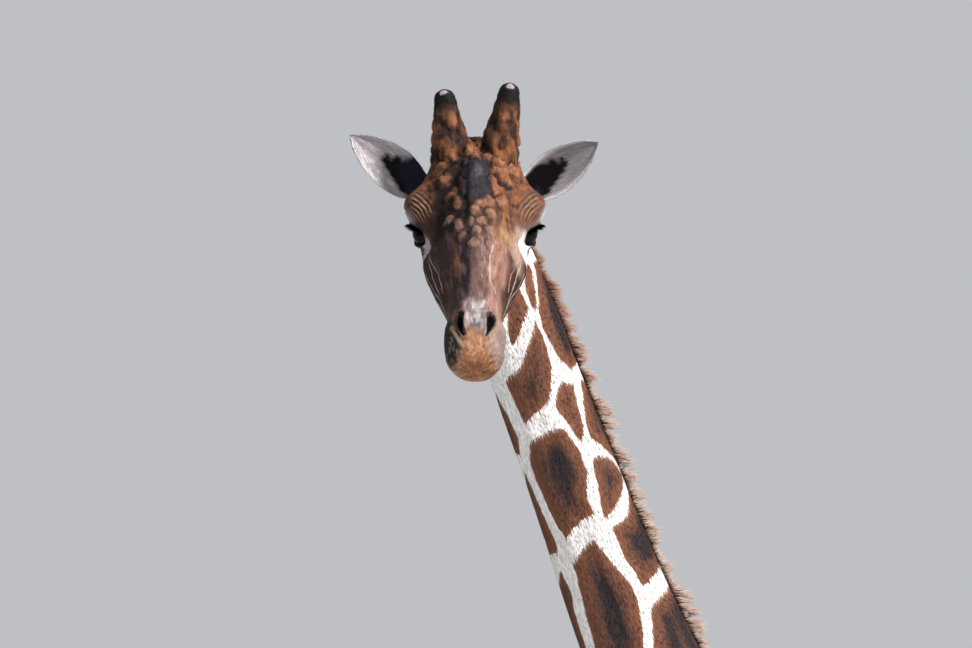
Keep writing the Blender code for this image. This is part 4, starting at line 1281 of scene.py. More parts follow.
# The grey sides of the muzzle: dark on the right as painted shade, pale on the left as painted light.
muzzle_side_light_and_shade = mix(shade(46, 38, 36), shade(148, 126, 118), ease(0.0, 0.02, o))
stroke(muzzle_side_light_and_shade, ease(0.30, 0.335, a) * ease(0.018, 0.036, side) * ease(-0.16, -0.12, u))
stroke(shade(84, 74, 74), ease(0.334, 0.342, a) * ease(0.014, 0.008, side) * ease(0.354, 0.346, a) * 0.8)
lip_width = 0.014 + 0.60 * np.clip(-0.030 - u, 0, None)
lips = ease(lip_width + 0.010, lip_width - 0.010, side + 0.011 * mottle)
lips = ease(0.352, 0.368, a + 0.008 * mottle) * lips
speckle = lumps(skin_points, 0.0042, 46) + 0.4 * mottle
stroke(shade(186, 156, 122), bell(np.hypot(a - 0.374, o / 1.2), 0.013) * 0.55)
grey_flank = ease(0.325, 0.35, a) * ease(0.018, 0.032, o) * ease(-0.13, -0.10, u)
stroke(shade(104, 88, 84), grey_flank * ease(-0.4, 0.7, mottle + 0.5 * speckle) * 0.6)
stroke(TAN * 0.78, lips * (0.90 + 0.3 * mottle))
stroke(TAN, ease(0.30, 0.34, a) * ease(-0.108, -0.120, u) * (0.8 + 0.4 * mottle))
stroke(shade(206, 164, 128), lips * ease(0.15, 0.55, speckle) * 0.5)
stroke(shade(92, 60, 44), lips * ease(0.05, 0.7, -speckle) * (0.28 + 0.3 * ease(0.38, 0.40, a)))
stroke(shade(132, 82, 50), ease(0.388, 0.408, a) * ease(0.050, 0.030, side) * 0.5)
stroke(SOOT, ease(0.335, 0.36, a) * ease(0.25, 0.7, -speckle) * ease(0.012, 0.03, side) * 0.5)
stroke(ASH, ease(0.335, 0.36, a) * ease(0.30, 0.7, speckle) * ease(0.018, 0.035, side) * 0.35)
# White throat, dark cheeks, and pale marks round the eyes: white on the left and dimmer lilac on the
# right, partly their colour and partly painted light and shade.
stroke(MILK, ease(0.30, 0.24, a) * ease(-0.105, -0.135, u) * ease(-0.30, -0.24, a))
cheek = band(a, 0.055, 0.235, 0.022) * band(u + 0.2 * (a - 0.15), -0.115, -0.012, 0.014)
cheek = cheek * ease(0.042, 0.056, side)
stroke(LIVER * 0.36, cheek * (0.9 + 0.3 * streaks))
inner_corner = line_distance(a, side, mm((50, 94), (112, 86)))
inner_corner = ease(0.020, 0.002, inner_corner + 0.003 * mottle) * ease(-0.06, -0.03, u)
stroke(shade(205, 178, 158), inner_corner * 0.5 * (o > 0))
tear = line_distance(a, u, mm((24, 12), (48, -18), (64, -58), (76, -80)))
on_side = ease(0.055, 0.075, side)
tear_left = tear + 0.005 * mottle + 0.10 * np.clip(a - 0.055, 0, None)
# The pale line under the eye: white on the left, dimmer lilac on the right, partly as painted light and
# shade.
stroke(MILK, ease(0.028, 0.008, tear_left) * on_side * (o > 0))
stroke(LILAC, ease(0.013, 0.005, tear + 0.003 * mottle) * on_side * 0.9 * (o < 0))
# Dark skin over the eyes, darker on the right as painted shade.
over_eye = ease(1.95, 1.55, eye_opening(a, u)) * ease(-0.006, 0.010, u) * ease(0.075, 0.09, side)
over_eye = over_eye * ease(0.036, 0.026, a)
stroke(mix(shade(100, 80, 70), shade(56, 45, 44), on_shaded_right), over_eye * 0.95)
# A pale spot on the top of each brow, partly pale hair and partly painted light: white on the left, dimmer
# lilac on the right in painted shade.
lit_pale_spot = bell(np.hypot((a + 0.036) / 1.4, u - 0.030), 0.014) * ease(0.120, 0.127, side) * 1.3
stroke(MILK, lit_pale_spot * (o > 0))
shaded_pale_spot = bell(np.hypot((a + 0.020) / 1.3, u - 0.030), 0.014) * ease(0.118, 0.126, side) * 1.2
stroke(LILAC * 0.8, shaded_pale_spot * (o < 0))
# Wrinkles over the eyes: a brown ground here, darker on the right as painted shade, and the material draws
# pale crests on it and painted shade in the grooves.
over, fold = brow_folds(a, side, u)
stroke(shade(84, 60, 48) * (1 - 0.35 * (o < 0))[:, None], over * 0.7)
folds = np.stack((fold, over * (1.0 - 0.55 * (o > 0)), np.zeros(len(over))), axis=1)
# Lids: dark above, thin below.
opening = eye_opening(a, u)
upper = ease(-0.008, 0.008, u + 0.2 * a)
lid = ease(1.10 + 0.20 * upper, 1.02, opening) * ease(0.075, 0.09, side)
stroke(shade(40, 32, 34), lid * (0.40 + 0.5 * upper))
stroke(PITCH * 0.6, ease(1.08, 0.99, opening) * ease(0.06, 0.08, side))
nostril = nostril_reach(a, o)
on_nose = ease(-0.085, -0.06, u) * ease(0.29, 0.30, a)
rim_line = line_distance(a, side, mm((342, 50), (366, 38), (386, 24)))
rim_line = ease(0.0040, 0.0012, rim_line + 0.001 * mottle) * on_nose
stroke(shade(172, 144, 118), rim_line * (0.65 - 0.35 * (o > 0)))
stroke(PITCH * 0.5, ease(1.22, 1.0, nostril) * on_nose)
stroke(SOOT, bell(u - mouth_line(a), 0.003) * ease(MOUTH_CORNER - 0.01, MOUTH_CORNER + 0.02, a) * 0.6)
paint_share = np.where(kind == "head", 1.0, 0.0)
paint_share = paint_share * np.maximum(ease(-0.16, -0.10, a), ease(0.02, 0.08, u))

# %% Paint the ears
LEFT_EAR_LIGHT = 0.46  # the left ear is in his own shade
EAR_WIDEST = 0.045
for name in EARS:
    root, tip, axis, opening_way, across_way = rooted_frame(EARS[name], EAR_OPENS)
    on_ear = (kind == "ear") & (np.sign(o) == (1 if name == "left" else -1))
    share = (skin_points - root) @ axis / np.linalg.norm(tip - root)
    sideways = (skin_points - root) @ across_way / EAR_WIDEST
    inside = ease(-0.15, 0.15, normal @ opening_way)
    half = np.maximum(flow(EAR_AT, EAR_HALF_WIDTH, share.clip(0, 1)) / EAR_WIDEST, 0.1)
    height = sideways * np.sign(across_way[2]) / half
    combed_ear = np.stack((share * EAR_WIDEST, height * 0.008, share * 0), axis=1)
    ragged = 0.16 * lumps(combed_ear, 0.0022, 45)
    off_middle = (height - 0.05 - 0.25 * share) / (1.02 - 0.85 * share.clip(0, 1))
    dark = ease(1.02, 0.86, np.hypot((share - 0.20) / 0.44, off_middle) + ragged)
    colour = mix(MILK, LILAC, 0.5 + 0.3 * np.clip(height, -1, 1))
    colour = mix(colour, PITCH * 1.3, dark * inside)
    # The foot of each ear's inside is slate blue as painted shade.
    foot = ease(0.30, 0.14, share + 0.04 * mottle) * ease(0.1, -0.35, height)
    colour = mix(colour, shade(66, 70, 92), foot * inside)
    if name == "left":
        colour = colour * LEFT_EAR_LIGHT
    # A navy patch on the right ear's foot is painted shade.
    navy_shade = ease(0.46, 0.34, share + 0.05 * mottle) * ease(-0.45, -0.15, height) * (name == "right")
    colour = mix(colour, shade(38, 40, 54), navy_shade * inside)
    colour = mix(mix(shade(70, 62, 74), CREAM, ease(0.15, 0.6, share)), colour, inside)
    rim = ease(0.76, 0.90, np.abs(height)) * (1 - navy_shade)
    colour = mix(colour, MILK * 0.9, 0.9 * rim)
    paint[on_ear] = colour[on_ear]
paint_share = smoothed(np.where(kind == "ear", 1.0, paint_share), 2)

# Thin pale lines: along and up on the cheeks, along and out down the nose.
CHEEK_LINES = (
    mm((45, -50), (110, -66), (190, -74), (225, -72)),
    mm((60, -66), (130, -84), (205, -86)),
    mm((85, -10), (140, -28), (195, -56), (232, -76)),
    mm((30, -80), (90, -102), (180, -106), (215, -96)),
    mm((100, -40), (150, -50), (205, -64)),
    mm((75, -94), (140, -116), (200, -114)),
    mm((60, 10), (105, -6), (150, -12), (185, -36)),
)
NOSE_LINE = mm((115, 44), (165, 31), (225, 30), (248, 47))
wander = 0.0025 * lumps(skin_points, 0.02, 51)
vein = np.full(len(skin_points), 0.03)
for line in CHEEK_LINES:
    vein = np.minimum(vein, np.where(side > 0.035, line_distance(a + wander, u + wander, line), 0.03))
vein = np.minimum(vein, np.where(u > -0.02, line_distance(a + wander, o + wander, NOSE_LINE), 0.03))
vein = np.where(kind == "head", vein, 0.03)
print("painted points:", int((paint_share > 0.5).sum()))

# %% [markdown]
# ## Materials of the hide and the coat
#
# The skin and the tufts wear the same markings, so both materials call one function. It reads
# the distance to the white lines and turns it into patches whose edges are frayed by noise that
# is combed along the hair. Rust shows at a patch's edge and dark streaks in its middle. The
# wrinkles over the eyes are finer than paint on the points can be, so the pale crests and the
# grooves' painted shade come from the stored distance. The helpers add nodes to the material in
# hand, whose nodes are called tree, and give back sockets to plug into the next node.

# %% Helpers for nodes
def plug(node, inputs):
    """Link sockets to a node's inputs, or set plain values in them."""
    for socket, value in inputs.items():
        if isinstance(value, bpy.types.NodeSocket):
            tree.links.new(value, node.inputs[socket])
        else:
            node.inputs[socket].default_value = value


def wire(kind_of_node, inputs, **settings):
    """Add a node to the material in hand, set it up and return its outputs."""
    node = tree.nodes.new(kind_of_node)
    for name, value in settings.items():
        setattr(node, name, value)
    plug(node, inputs)
    return node.outputs


def maths(operation, *values, clamp=False):
    """One step of arithmetic."""
    return wire("ShaderNodeMath", dict(enumerate(values)), operation=operation, use_clamp=clamp)[0]


def plus(first, second):
    """The sum of two sockets or numbers."""
    return maths("ADD", first, second)


def minus(first, second):
    """The first less the second."""
    return maths("SUBTRACT", first, second)


def times(first, second):
    """The product of two sockets or numbers."""
    return maths("MULTIPLY", first, second)


def stored(name, output="Fac"):
    """What is stored on the mesh's points under a name."""
    return wire("ShaderNodeAttribute", {}, attribute_name=name)[output]


def parts(vector):
    """A vector's three parts."""
    return wire("ShaderNodeSeparateXYZ", {0: vector})


def scaled(colour, share):
    """A colour made lighter or darker by one number."""
    grey = wire("ShaderNodeCombineXYZ", {0: share, 1: share, 2: share})[0]
    return wire("ShaderNodeVectorMath", {0: colour, 1: grey}, operation="MULTIPLY")[0]


def blend(share, first, second):
    """Mix two colours; a plain triple becomes a colour without alpha."""
    is_socket = [isinstance(colour, bpy.types.NodeSocket) for colour in (first, second)]
    first, second = (c if known else (*c, 1.0) for c, known in zip((first, second), is_socket))
    return wire("ShaderNodeMix", {0: share, 6: first, 7: second}, data_type="RGBA")[2]


def between(value, low, high):
    """0 below low and 1 above high, with an S between."""
    return wire("ShaderNodeMapRange", {0: value, 1: low, 2: high}, interpolation_type="SMOOTHSTEP")[0]


def noise(vector, scale, detail=2.0):
    """Soft noise from 0 to 1 at a vector."""
    settings = {"Vector": vector, "Scale": scale, "Detail": detail, "Roughness": 0.5}
    return wire("ShaderNodeTexNoise", settings)[0]


def combed_noise(round_it, along_it, detail):
    """Noise drawn out along the hair: so many grains to the metre round the limb and along it."""
    scale = (round_it, along_it, 1.0)
    combed = wire("ShaderNodeVectorMath", {0: stored("comb", "Vector"), 1: scale}, operation="MULTIPLY")[0]
    return noise(combed, 1.0, detail)


def new_material(name, slot_colour):
    """A material, its nodes and its surface node."""
    material = bpy.data.materials.new(name)
    material.use_nodes = True
    material.diffuse_color = (*slot_colour, 1.0)
    own_tree = material.node_tree
    return material, own_tree, own_tree.nodes["Principled BSDF"]


# %% Nodes for the markings
PATCH_EDGE = shade(128, 84, 63)
PATCH = shade(110, 73, 58)
PATCH_DARK = shade(52, 44, 47)
WHITE_HAIR = shade(245, 242, 242)
GREY_HAIR = shade(206, 198, 196)
VEIN_PALE = shade(196, 180, 176)
FOLD_PALE = shade(204, 168, 134)
DRAWN_TONE = (-3.0, -2.0)  # patches with more tone than this are the drawn neck's
DARK_FROM_TO = (0.012, 0.044)  # metres into a patch over which it darkens
CORE_FROM_TO = (0.026, 0.052)  # and over which a drawn patch turns nearly black
SHARP = 0.0009  # half the blur of a patch's edge


def patch_brown(into, streak):
    """A patch's colour: rust at its edge, darker inwards in bands, with each hair's own streak."""
    tone_here = stored("tone")
    drawn_here = between(tone_here, *DRAWN_TONE)
    gaps = between(combed_noise(40.0, 3.0, 2.5), 0.62, 0.36)
    bands = minus(1.0, times(gaps, plus(0.16, times(drawn_here, 0.46))))
    dark = times(times(between(into, *DARK_FROM_TO), bands), plus(0.5, times(drawn_here, 0.5)))
    even_tone = plus(tone_here, times(minus(1.0, drawn_here), 4.0))
    dark = plus(dark, times(even_tone, 0.14))
    core = times(between(into, *CORE_FROM_TO), times(drawn_here, bands))
    dark = plus(dark, times(core, 0.75))
    fine = times(minus(streak, 0.5), plus(0.22, times(drawn_here, 0.23)))
    dark = maths("ADD", dark, fine, clamp=True)
    return blend(dark, blend(between(into, 0.001, 0.020), PATCH_EDGE, PATCH), PATCH_DARK)


def face_colour(streak):
    """The stored paint, streaked, with pale lines and with the wrinkles' pale crests and grooves darkened
    as painted shade.
    """
    colour = scaled(stored("paint", "Color"), minus(1.85, times(streak, 1.7)))
    line = between(stored("vein"), 0.0024, 0.0005)
    colour = blend(times(line, 0.62), colour, VEIN_PALE)
    fold_there = parts(stored("fold", "Vector"))
    wave = maths("SINE", times(fold_there[0], 2 * math.pi / FOLD_WAVE))
    crest = times(between(wave, 0.15, 0.75), fold_there[1])
    # Painted shade in the wrinkles' grooves.
    groove = times(between(wave, -0.05, -0.65), fold_there[1])
    colour = blend(times(crest, 0.85), colour, FOLD_PALE)
    return blend(times(groove, 0.90), colour, SOOT * 0.7)


def markings(streak, fray):
    """The coat's colour from the stored markings; streak is 0 to 1, fray moves a patch's edge."""
    into = plus(stored("edge"), fray)
    white = blend(between(streak, 0.60, 1.15), WHITE_HAIR, GREY_HAIR)
    coat_colour = blend(between(into, -SHARP, SHARP), white, patch_brown(into, streak))
    return blend(stored("paint", "Alpha"), coat_colour, face_colour(streak))


# %% Hide and coat materials
HAIRS = (420.0, 26.0, 3.0)  # grains to the metre round and along the limb, and the detail

hide, tree, surface = new_material("hide", PATCH)
hair_noise = combed_noise(*HAIRS)
pores = noise(wire("ShaderNodeTexCoord", {})["Object"], 700.0)
colour = markings(hair_noise, times(minus(hair_noise, 0.5), 0.008))
relief = plus(hair_noise, times(pores, 0.4))
bump = wire("ShaderNodeBump", {"Strength": 0.5, "Distance": 0.0012, "Height": relief})[0]
plug(surface, {"Base Color": colour, "Normal": bump, "Roughness": 0.72, "Specular IOR Level": 0.12})

coat, tree, surface = new_material("coat", PATCH)
strand_there = parts(stored("strand", "Vector"))
chance, tip_share = strand_there[0], strand_there[1]
streak = plus(times(chance, 0.25), times(combed_noise(*HAIRS), 0.75))
colour = markings(streak, times(minus(chance, 0.5), 0.002))
lit = times(plus(0.93, times(tip_share, 0.10)), plus(0.95, times(chance, 0.10)))
# A tuft is lit mostly as the hide under it is, so that thin hair doesn't glitter.
under = wire(
    "ShaderNodeVectorTransform", {0: stored("under", "Vector")},
    vector_type="NORMAL", convert_from="OBJECT", convert_to="WORLD",
)[0]
own_way = wire("ShaderNodeNewGeometry", {})["Normal"]
soft = wire("ShaderNodeMix", {0: 0.90, 4: own_way, 5: under}, data_type="VECTOR")[1]
soft = wire("ShaderNodeVectorMath", {0: soft}, operation="NORMALIZE")[0]
looks = {"Base Color": scaled(colour, lit), "Normal": soft, "Roughness": 0.62, "Specular IOR Level": 0.12}
plug(surface, looks)
print("materials:", hide.name, coat.name)

# %% [markdown]
# ## Put the skin in the scene
#
# The relaxed points and their markings become one mesh. Values stored on the points travel with
# the mesh, so the material needs no image.

# %% The skin
def solid(name, points, triangles, material, slot, replaced=()):
    """A mesh object from arrays of points and triangles, riding with the body."""
    piece = in_scene(name, mesh_of(name, points, triangles))
    piece.data.materials.append(material)
    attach(piece, "root")
    if replaced:
        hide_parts(*replaced)
    return piece


def store(piece, **named_values):
    """Store numbers, vectors of three or colours of four on a piece's points, under their names."""
    for name, values in named_values.items():
        values = np.ascontiguousarray(values, dtype=np.float32)
        kinds = {3: ("FLOAT_VECTOR", "vector"), 4: ("FLOAT_COLOR", "color")}
        kind_of_value, key = ("FLOAT", "value") if values.ndim == 1 else kinds[values.shape[-1]]
        piece.data.attributes.new(name, kind_of_value, "POINT").data.foreach_set(key, values.ravel())


LEG_NODES = [f"leg_{leg}_{half}" for leg in LEGS for half in ("upper", "lower")]
flesh = ["head", "neck_upper", "neck_lower", "trunk", "tail", "ear_left", "ear_right"] + LEG_NODES
comb = np.stack((straight[:, 0] + part_of * 7.0, straight[:, 1], np.zeros(len(part_of))), axis=1)
# On the muzzle the hair is combed across the rings, or a star would show where they meet.
comb = mix(comb, np.stack((0.8 * o, 5 * u, 0 * u), axis=1), ease(0.34, 0.36, a) * (kind == "head"))
skin = solid("skin", skin_points, skin_triangles, hide, "coat", flesh)
skin.data.shade_smooth()
paint_rgba = np.concatenate((paint, paint_share[:, None]), axis=1)
store(skin, edge=edge, tone=tone, vein=vein, fold=folds, paint=paint_rgba, comb=comb)
print("skin:", len(skin_triangles), "triangles")

# %% [markdown]
# ## The coat
#
# Giraffe hair is short and lies flat, so most of it could be bump. But it frays the edges of the
# patches and catches the light in strands, and an outline without hair looks moulded. So the
# whole hide is set with thin tufts, each a closed sliver of four triangles: three points at the
# root and one at the tip. All tufts of a piece are worked out together as arrays. A tuft takes
# its markings from the hide at its root, and its patch on the map from the same place.

# %% Growing tufts
hide_fields = {
    "points": skin_points, "triangles": skin_triangles, "normal": normal, "lie": lie,
    "share": straight[:, 2:], "area": face_area, "comb": comb, "paint": paint_rgba,
    "marks": np.stack((shorten, half_line, widens, vein), axis=1), "fold": folds,
}
PATCH_SIZE = 0.003


def unwrapped(share, column, columns, padding=0.006):
    """Places on the map: length of the limb along U, inside its own column, and round it along V."""
    low, high = share[:, 0].min(), share[:, 0].max()
    u_share = (share[:, 0] - low) / (high - low)
    u_place = (column + padding + u_share * (1 - 2 * padding)) / columns
    return np.stack((u_place, padding + share[:, 1] % 1.0 * (1 - 2 * padding)), axis=1)


def place_map(piece, places, faces_each):
    """Give every tuft its small patch of the piece's map at its root's place."""
    layer = piece.data.uv_layers.new(name="OFBake")
    corner = np.array([(-0.5, -0.4), (0.5, -0.4), (0.0, 0.6)]) * PATCH_SIZE
    every = np.repeat(places, faces_each, axis=0)[:, None] + corner
    layer.data.foreach_set("uv", every.astype(np.float32).clip(0.0005, 0.9995).ravel())


def root_sample(field, weight, count, rng):
    """Roots on the surface, by area and weight: their triangles and the three corners' shares."""
    chance = field["area"] * weight
    triangle = rng.choice(len(chance), count, p=chance / chance.sum())
    first, second = rng.random(count), rng.random(count)
    over = first + second > 1
    first, second = np.where(over, 1 - first, first), np.where(over, 1 - second, second)
    return triangle, np.stack((1 - first - second, first, second), axis=1)


def at_roots(field, triangle, corner_share):
    """Every stored value at the roots, mixed from the corners of each root's triangle. Two of them
    start again on the way round, and a corner beyond that jump is brought back or left out."""
    there = {}
    for name in set(field) - {"triangles", "area"}:
        values = field[name][field["triangles"][triangle]]
        if name not in ("share", "comb"):
            there[name] = np.einsum("ij,ij...->i...", corner_share, values)
            continue
        step = values - values[:, :1]
        if name == "share":
            step[..., 1] = (step[..., 1] + 0.5) % 1.0 - 0.5
        else:
            step = np.where(np.abs(step) > 0.08, 0, step)
        there[name] = values[:, 0] + np.einsum("ij,ijk->ik", corner_share, step)
    return there


def markings_at(first_corner, root, out, way, marks):
    """Distance to the white line, tone and distance to a pale line, worked out at each root."""
    here = {
        "points": root, "normal": out, "lie": way, "shorten": marks[:, 0], "half_line": marks[:, 1],
        "widens": marks[:, 2], "near": near[first_corner], "drawn_on": drawn_on[first_corner],
    }
    into, number = net_at(here)
    return np.stack((into, patch_tones[number], marks[:, 3]), axis=1)


def strands(count, along, rng):
    """A random number for every hair, and how far along it each of its points is."""
    there = np.zeros((count, len(along), 3))
    there[..., 0] = rng.random(count)[:, None]
    there[..., 1] = along
    return there


def grow(name, weight, count, length, half_width, lift, seed, slot="coat", field=hide_fields, column=None):
    """Set tufts on a surface: length may be one value or one per point, lift is in degrees. Pairs of
    limbs share a map in two columns, and column tells which of them a point belongs to."""
    rng = np.random.default_rng(seed)
    triangle, corner_share = root_sample(field, weight, count, rng)
    there = at_roots(field, triangle, corner_share)
    root, way, marks = there["points"], there["lie"], there["marks"]
    out = unit(there["normal"])
    way = unit(way - out * dot(way, out))
    first_corner = field["triangles"][triangle, 0]
    if marks.shape[1] > 3:
        marks = markings_at(first_corner, root, out, way, marks)
    aside = np.cross(way, out)
    turn = 0.12 * lumps(root, 0.060, seed + 1) + 0.05 * rng.standard_normal(count)
    cos, sin = np.cos(turn)[:, None], np.sin(turn)[:, None]
    way, aside = way * cos + aside * sin, aside * cos - way * sin
    if np.ndim(length) == 1:
        length = np.einsum("ij,ij->i", corner_share, length[field["triangles"][triangle]])
    long = length * rng.uniform(0.7, 1.3, count)
    wide = half_width * np.clip(long / np.mean(long), 0.5, 1.5) * rng.uniform(0.7, 1.3, count)
    rise = np.radians(lift * rng.uniform(0.4, 1.8, count))
    sunk = root - out * (0.25 * wide)[:, None]
    left = sunk - aside * wide[:, None]
    right = sunk + aside * wide[:, None]
    ridge_height = 0.14 * wide + 0.12 * long * np.sin(rise)
    ridge = root + way * (0.12 * long)[:, None] + out * ridge_height[:, None]
    tip = root + way * (long * np.cos(rise))[:, None] + out * (long * np.sin(rise))[:, None]
    points = np.stack((left, right, ridge, tip), axis=1).reshape(-1, 3)
    one = np.array(((0, 2, 1), (0, 3, 2), (1, 2, 3), (0, 1, 3)))
    triangles = (one + (np.arange(count) * 4)[:, None, None]).reshape(-1, 3)
    piece = solid(name, points, triangles, coat, slot)
    values = dict(zip(("edge", "tone", "vein"), marks.T))
    values["under"] = out
    values.update({key: there[key] for key in ("comb", "paint", "fold") if key in there})
    store(piece, **{key: np.repeat(value, 4, axis=0) for key, value in values.items()})
    store(piece, strand=strands(count, (0, 0, 0.3, 1.0), rng))
    places = (0, 1) if column is None else (column[first_corner], 2)
    place_map(piece, unwrapped(there["share"], *places), 4)
    print(name, count, "tufts")
    return piece


# %% The coat's pieces
UPPER_NECK = 1.02  # metres down the neck to where its coat is split


def on_part(*names):
    """1 on the triangles whose first corner belongs to one of the tubes."""
    wanted = [tube_names.index(name) for name in names]
    return np.isin(part_of[skin_triangles[:, 0]], wanted).astype(float)


middle_of_face = skin_points[skin_triangles].mean(axis=1)
fa, fo, fu = in_head(middle_of_face)
bare = ease(1.30, 1.12, eye_opening(fa, fu)) * ease(0.06, 0.08, np.abs(fo))
bare_nostril = ease(1.5, 1.25, nostril_reach(fa, fo)) * ease(-0.085, -0.06, fu) * ease(0.29, 0.30, fa)
bare = np.maximum(bare, bare_nostril)
head_length = 0.0058 * (1 - 0.4 * ease(0.20, 0.36, a))
head_length = head_length * (1 + 0.5 * ease(-0.05, -0.16, a)) * (1 - 0.4 * ease(1.9, 1.2, opening))
# After the weight come the count, the length, the half-width, the lift in degrees and the seed.
grow("coat_head", on_part("head") * (1 - bare), 49000, head_length, 0.00072, 5, 101)
ear_column = (part_of == tube_names.index("ear_right")).astype(float)
both_ears = on_part("ear_left", "ear_right")
grow("coat_ears", both_ears, 16000, 0.009, 0.0007, 9, 102, column=ear_column)
high_up = down_neck[skin_triangles].mean(axis=1) < UPPER_NECK
grow("coat_neck_upper", on_part("neck") * high_up, 49500, 0.0130, 0.0010, 1.3, 103)
grow("coat_neck_lower", on_part("neck") * ~high_up, 45000, 0.018, 0.0018, 1.8, 104)
on_left = middle_of_face[:, 0] > PLACE[0]
grow("coat_trunk_left", on_part("trunk") * on_left, 38000, 0.026, 0.0030, 3.2, 105)
grow("coat_trunk_right", on_part("trunk") * ~on_left, 38000, 0.026, 0.0030, 3.2, 106)
left_column = (skin_points[:, 0] > PLACE[0]).astype(float)
for end, seed in (("fore", 107), ("hind", 108)):
    weight = on_part(f"leg_{end}_left", f"leg_{end}_right")
    grow(f"coat_legs_{end}", weight, 34000, 0.016, 0.0018, 4, seed, column=left_column)
grow("coat_tail", on_part("tail"), 5000, 0.020, 0.0012, 7, 109)

# %% [markdown]
# ## Ossicones
#
# The horns stay pieces of their own, rooted in the swellings of the skull. Rust-red haired skin
# covers their knobbly lower part, black hair rings the top, and the tip is rubbed bald. Their
# hair grows up towards the tip and hides where they leave the head.

# %% Build the ossicones
OSSICONE_RINGS, OSSICONE_ROUND = 72, 56


def tube_fields(rings, paint_colours):
    """The same stored values as the hide's, for a closed tube that is painted all over."""
    points, triangles = tube_faces(rings)
    count, around, _ = rings.shape
    way = unit(np.gradient(rings, axis=0)).reshape(-1, 3)
    both_ways = np.meshgrid(np.linspace(0, 1, count), np.arange(around) / around, indexing="ij")
    share = np.stack(both_ways, axis=-1)
    ends = ((0.0, 0.0), (1.0, 0.0))
    out, area = point_normals(points, triangles)
    painted = np.concatenate((paint_colours, np.ones((len(points), 1))), axis=1)
    marks = np.tile((0.0, 0.0, 0.03), (len(points), 1))
    combing = share[..., 1] * 0.2, share[..., 0] * 0.16, share[..., 0] * 0
    combing = np.stack(combing, axis=-1).reshape(-1, 3)
    return {
        "points": points, "triangles": triangles, "normal": out, "area": area, "paint": painted,
        "marks": marks, "share": np.concatenate((share.reshape(-1, 2), ends)),
        "lie": np.concatenate((way, way[:1], way[-1:])),
        "comb": np.concatenate((combing, combing[:1], combing[-1:])),
    }


def horn_paint(side, points):
    """Rust on the knobs and soot between them, partly painted shade, black under the tip, painted shade on
    the left horn's inner side and a pale bald knob.
    """
    foot, tip, axis, _, _ = rooted_frame(OSSICONES[side], TOWARD)
    share = (points - foot) @ axis / np.linalg.norm(tip - foot)
    knob = pebbles(points, HORN_KNOB, 9)
    rough = lumps(points, 0.014, 3)
    # Rust on the knobs and dark between them: partly their colour, partly painted shade in the hollows.
    rusty = np.clip(0.70 * knob + 0.60 * rough, 0, 1) * ease(1.0, 0.50, share + 0.08 * rough)
    colours = mix(SOOT * 1.2, RUST * 0.95, rusty)
    colours = mix(colours, PITCH * 1.5, ease(0.72, 0.82, share + 0.06 * rough))
    down_axis = np.stack((points @ LEFTWARD, points @ TOWARD, share * 0.05), axis=1)
    ridges = lumps(down_axis, 0.008, 11) * ease(0.75, 0.6, share)
    colours = mix(colours, GOLD * 1.1, ease(0.15, 0.6, ridges) * 0.65 * (0.4 + 0.6 * rusty))
    colours = mix(colours, SOOT * 0.7, ease(0.05, 0.5, -ridges) * 0.8)
    # Painted shade on the left horn's inner side.
    inward = (points - foot - share[:, None] * (tip - foot)) @ LEFTWARD + 0.004 * rough
    shaded = ease(-0.008, -0.024, inward) * (0.6 if side == "left" else 0.0)
    colours = mix(colours, SOOT, shaded)
    spot = tip + 0.015 * TOWARD - 0.006 * UPRIGHT
    from_spot = np.linalg.norm(points - spot, axis=1) + 0.003 * lumps(points, 0.006, 8)
    return mix(colours, shade(150, 142, 148), ease(0.0100, 0.0070, from_spot)), share


for number, name in enumerate(OSSICONES):
    stations = crowded(0.0, 1.0, OSSICONE_RINGS, (1.0, 0.12, 2.0))
    rings = ossicone_rings(name, stations, even_round(OSSICONE_ROUND))
    horn_points, _ = tube_faces(rings)
    colours, share = horn_paint(name, horn_points)
    field = tube_fields(rings, colours)
    shape = field["points"], field["triangles"]
    horn = solid(f"ossicone_{name}_horn", *shape, hide, "horn_skin", [f"ossicone_{name}"])
    horn.data.shade_smooth()
    marks = field["marks"].T
    store(horn, edge=marks[0], tone=marks[1], vein=marks[2], paint=field["paint"], comb=field["comb"])
    hairy = ease(0.935, 0.90, share[field["triangles"]].mean(axis=1))
    hair_length = 0.0070 - 0.0030 * ease(0.6, 0.9, share)
    grow(f"coat_ossicone_{name}", hairy, 6500, hair_length, 0.00085, 10, 120 + number, "horn_skin", field)

# %% [markdown]
# ## Eyes
#
# A giraffe's eye is nearly black: a deep brown iris with a wide level pupil under a clear dome.
# It could be two balls, one of glass. One ball is enough here, because a coat of clear gloss on
# the material gives the wet glint.

# %% Build the eyes
DOME = 0.035  # how far the dome bulges, as a share of the radius


def ball(centre, outward, radius, count=48):
    """A closed ball from rings about the way out of the head; the dome bulges a little there."""
    polar = np.linspace(0.02, np.pi - 0.02, count)
    angle = even_round(count)
    reach = radius * (1 + DOME * bell(polar, 0.42))
    out = np.broadcast_to((reach * np.cos(polar))[:, None], (count, count))
    forward = (reach * np.sin(polar))[:, None] * np.cos(angle)
    up = (reach * np.sin(polar))[:, None] * np.sin(angle)
    rings = out[..., None] * outward + forward[..., None] * FORWARD + up[..., None] * CROWN + centre
    return rings, np.stack((out, forward, up), axis=-1) / radius


def from_middle_of_eye(forward, up):
    """Distance from the gaze, from its two parts."""
    return maths("SQRT", plus(maths("POWER", forward, 2.0), maths("POWER", up, 2.0)))


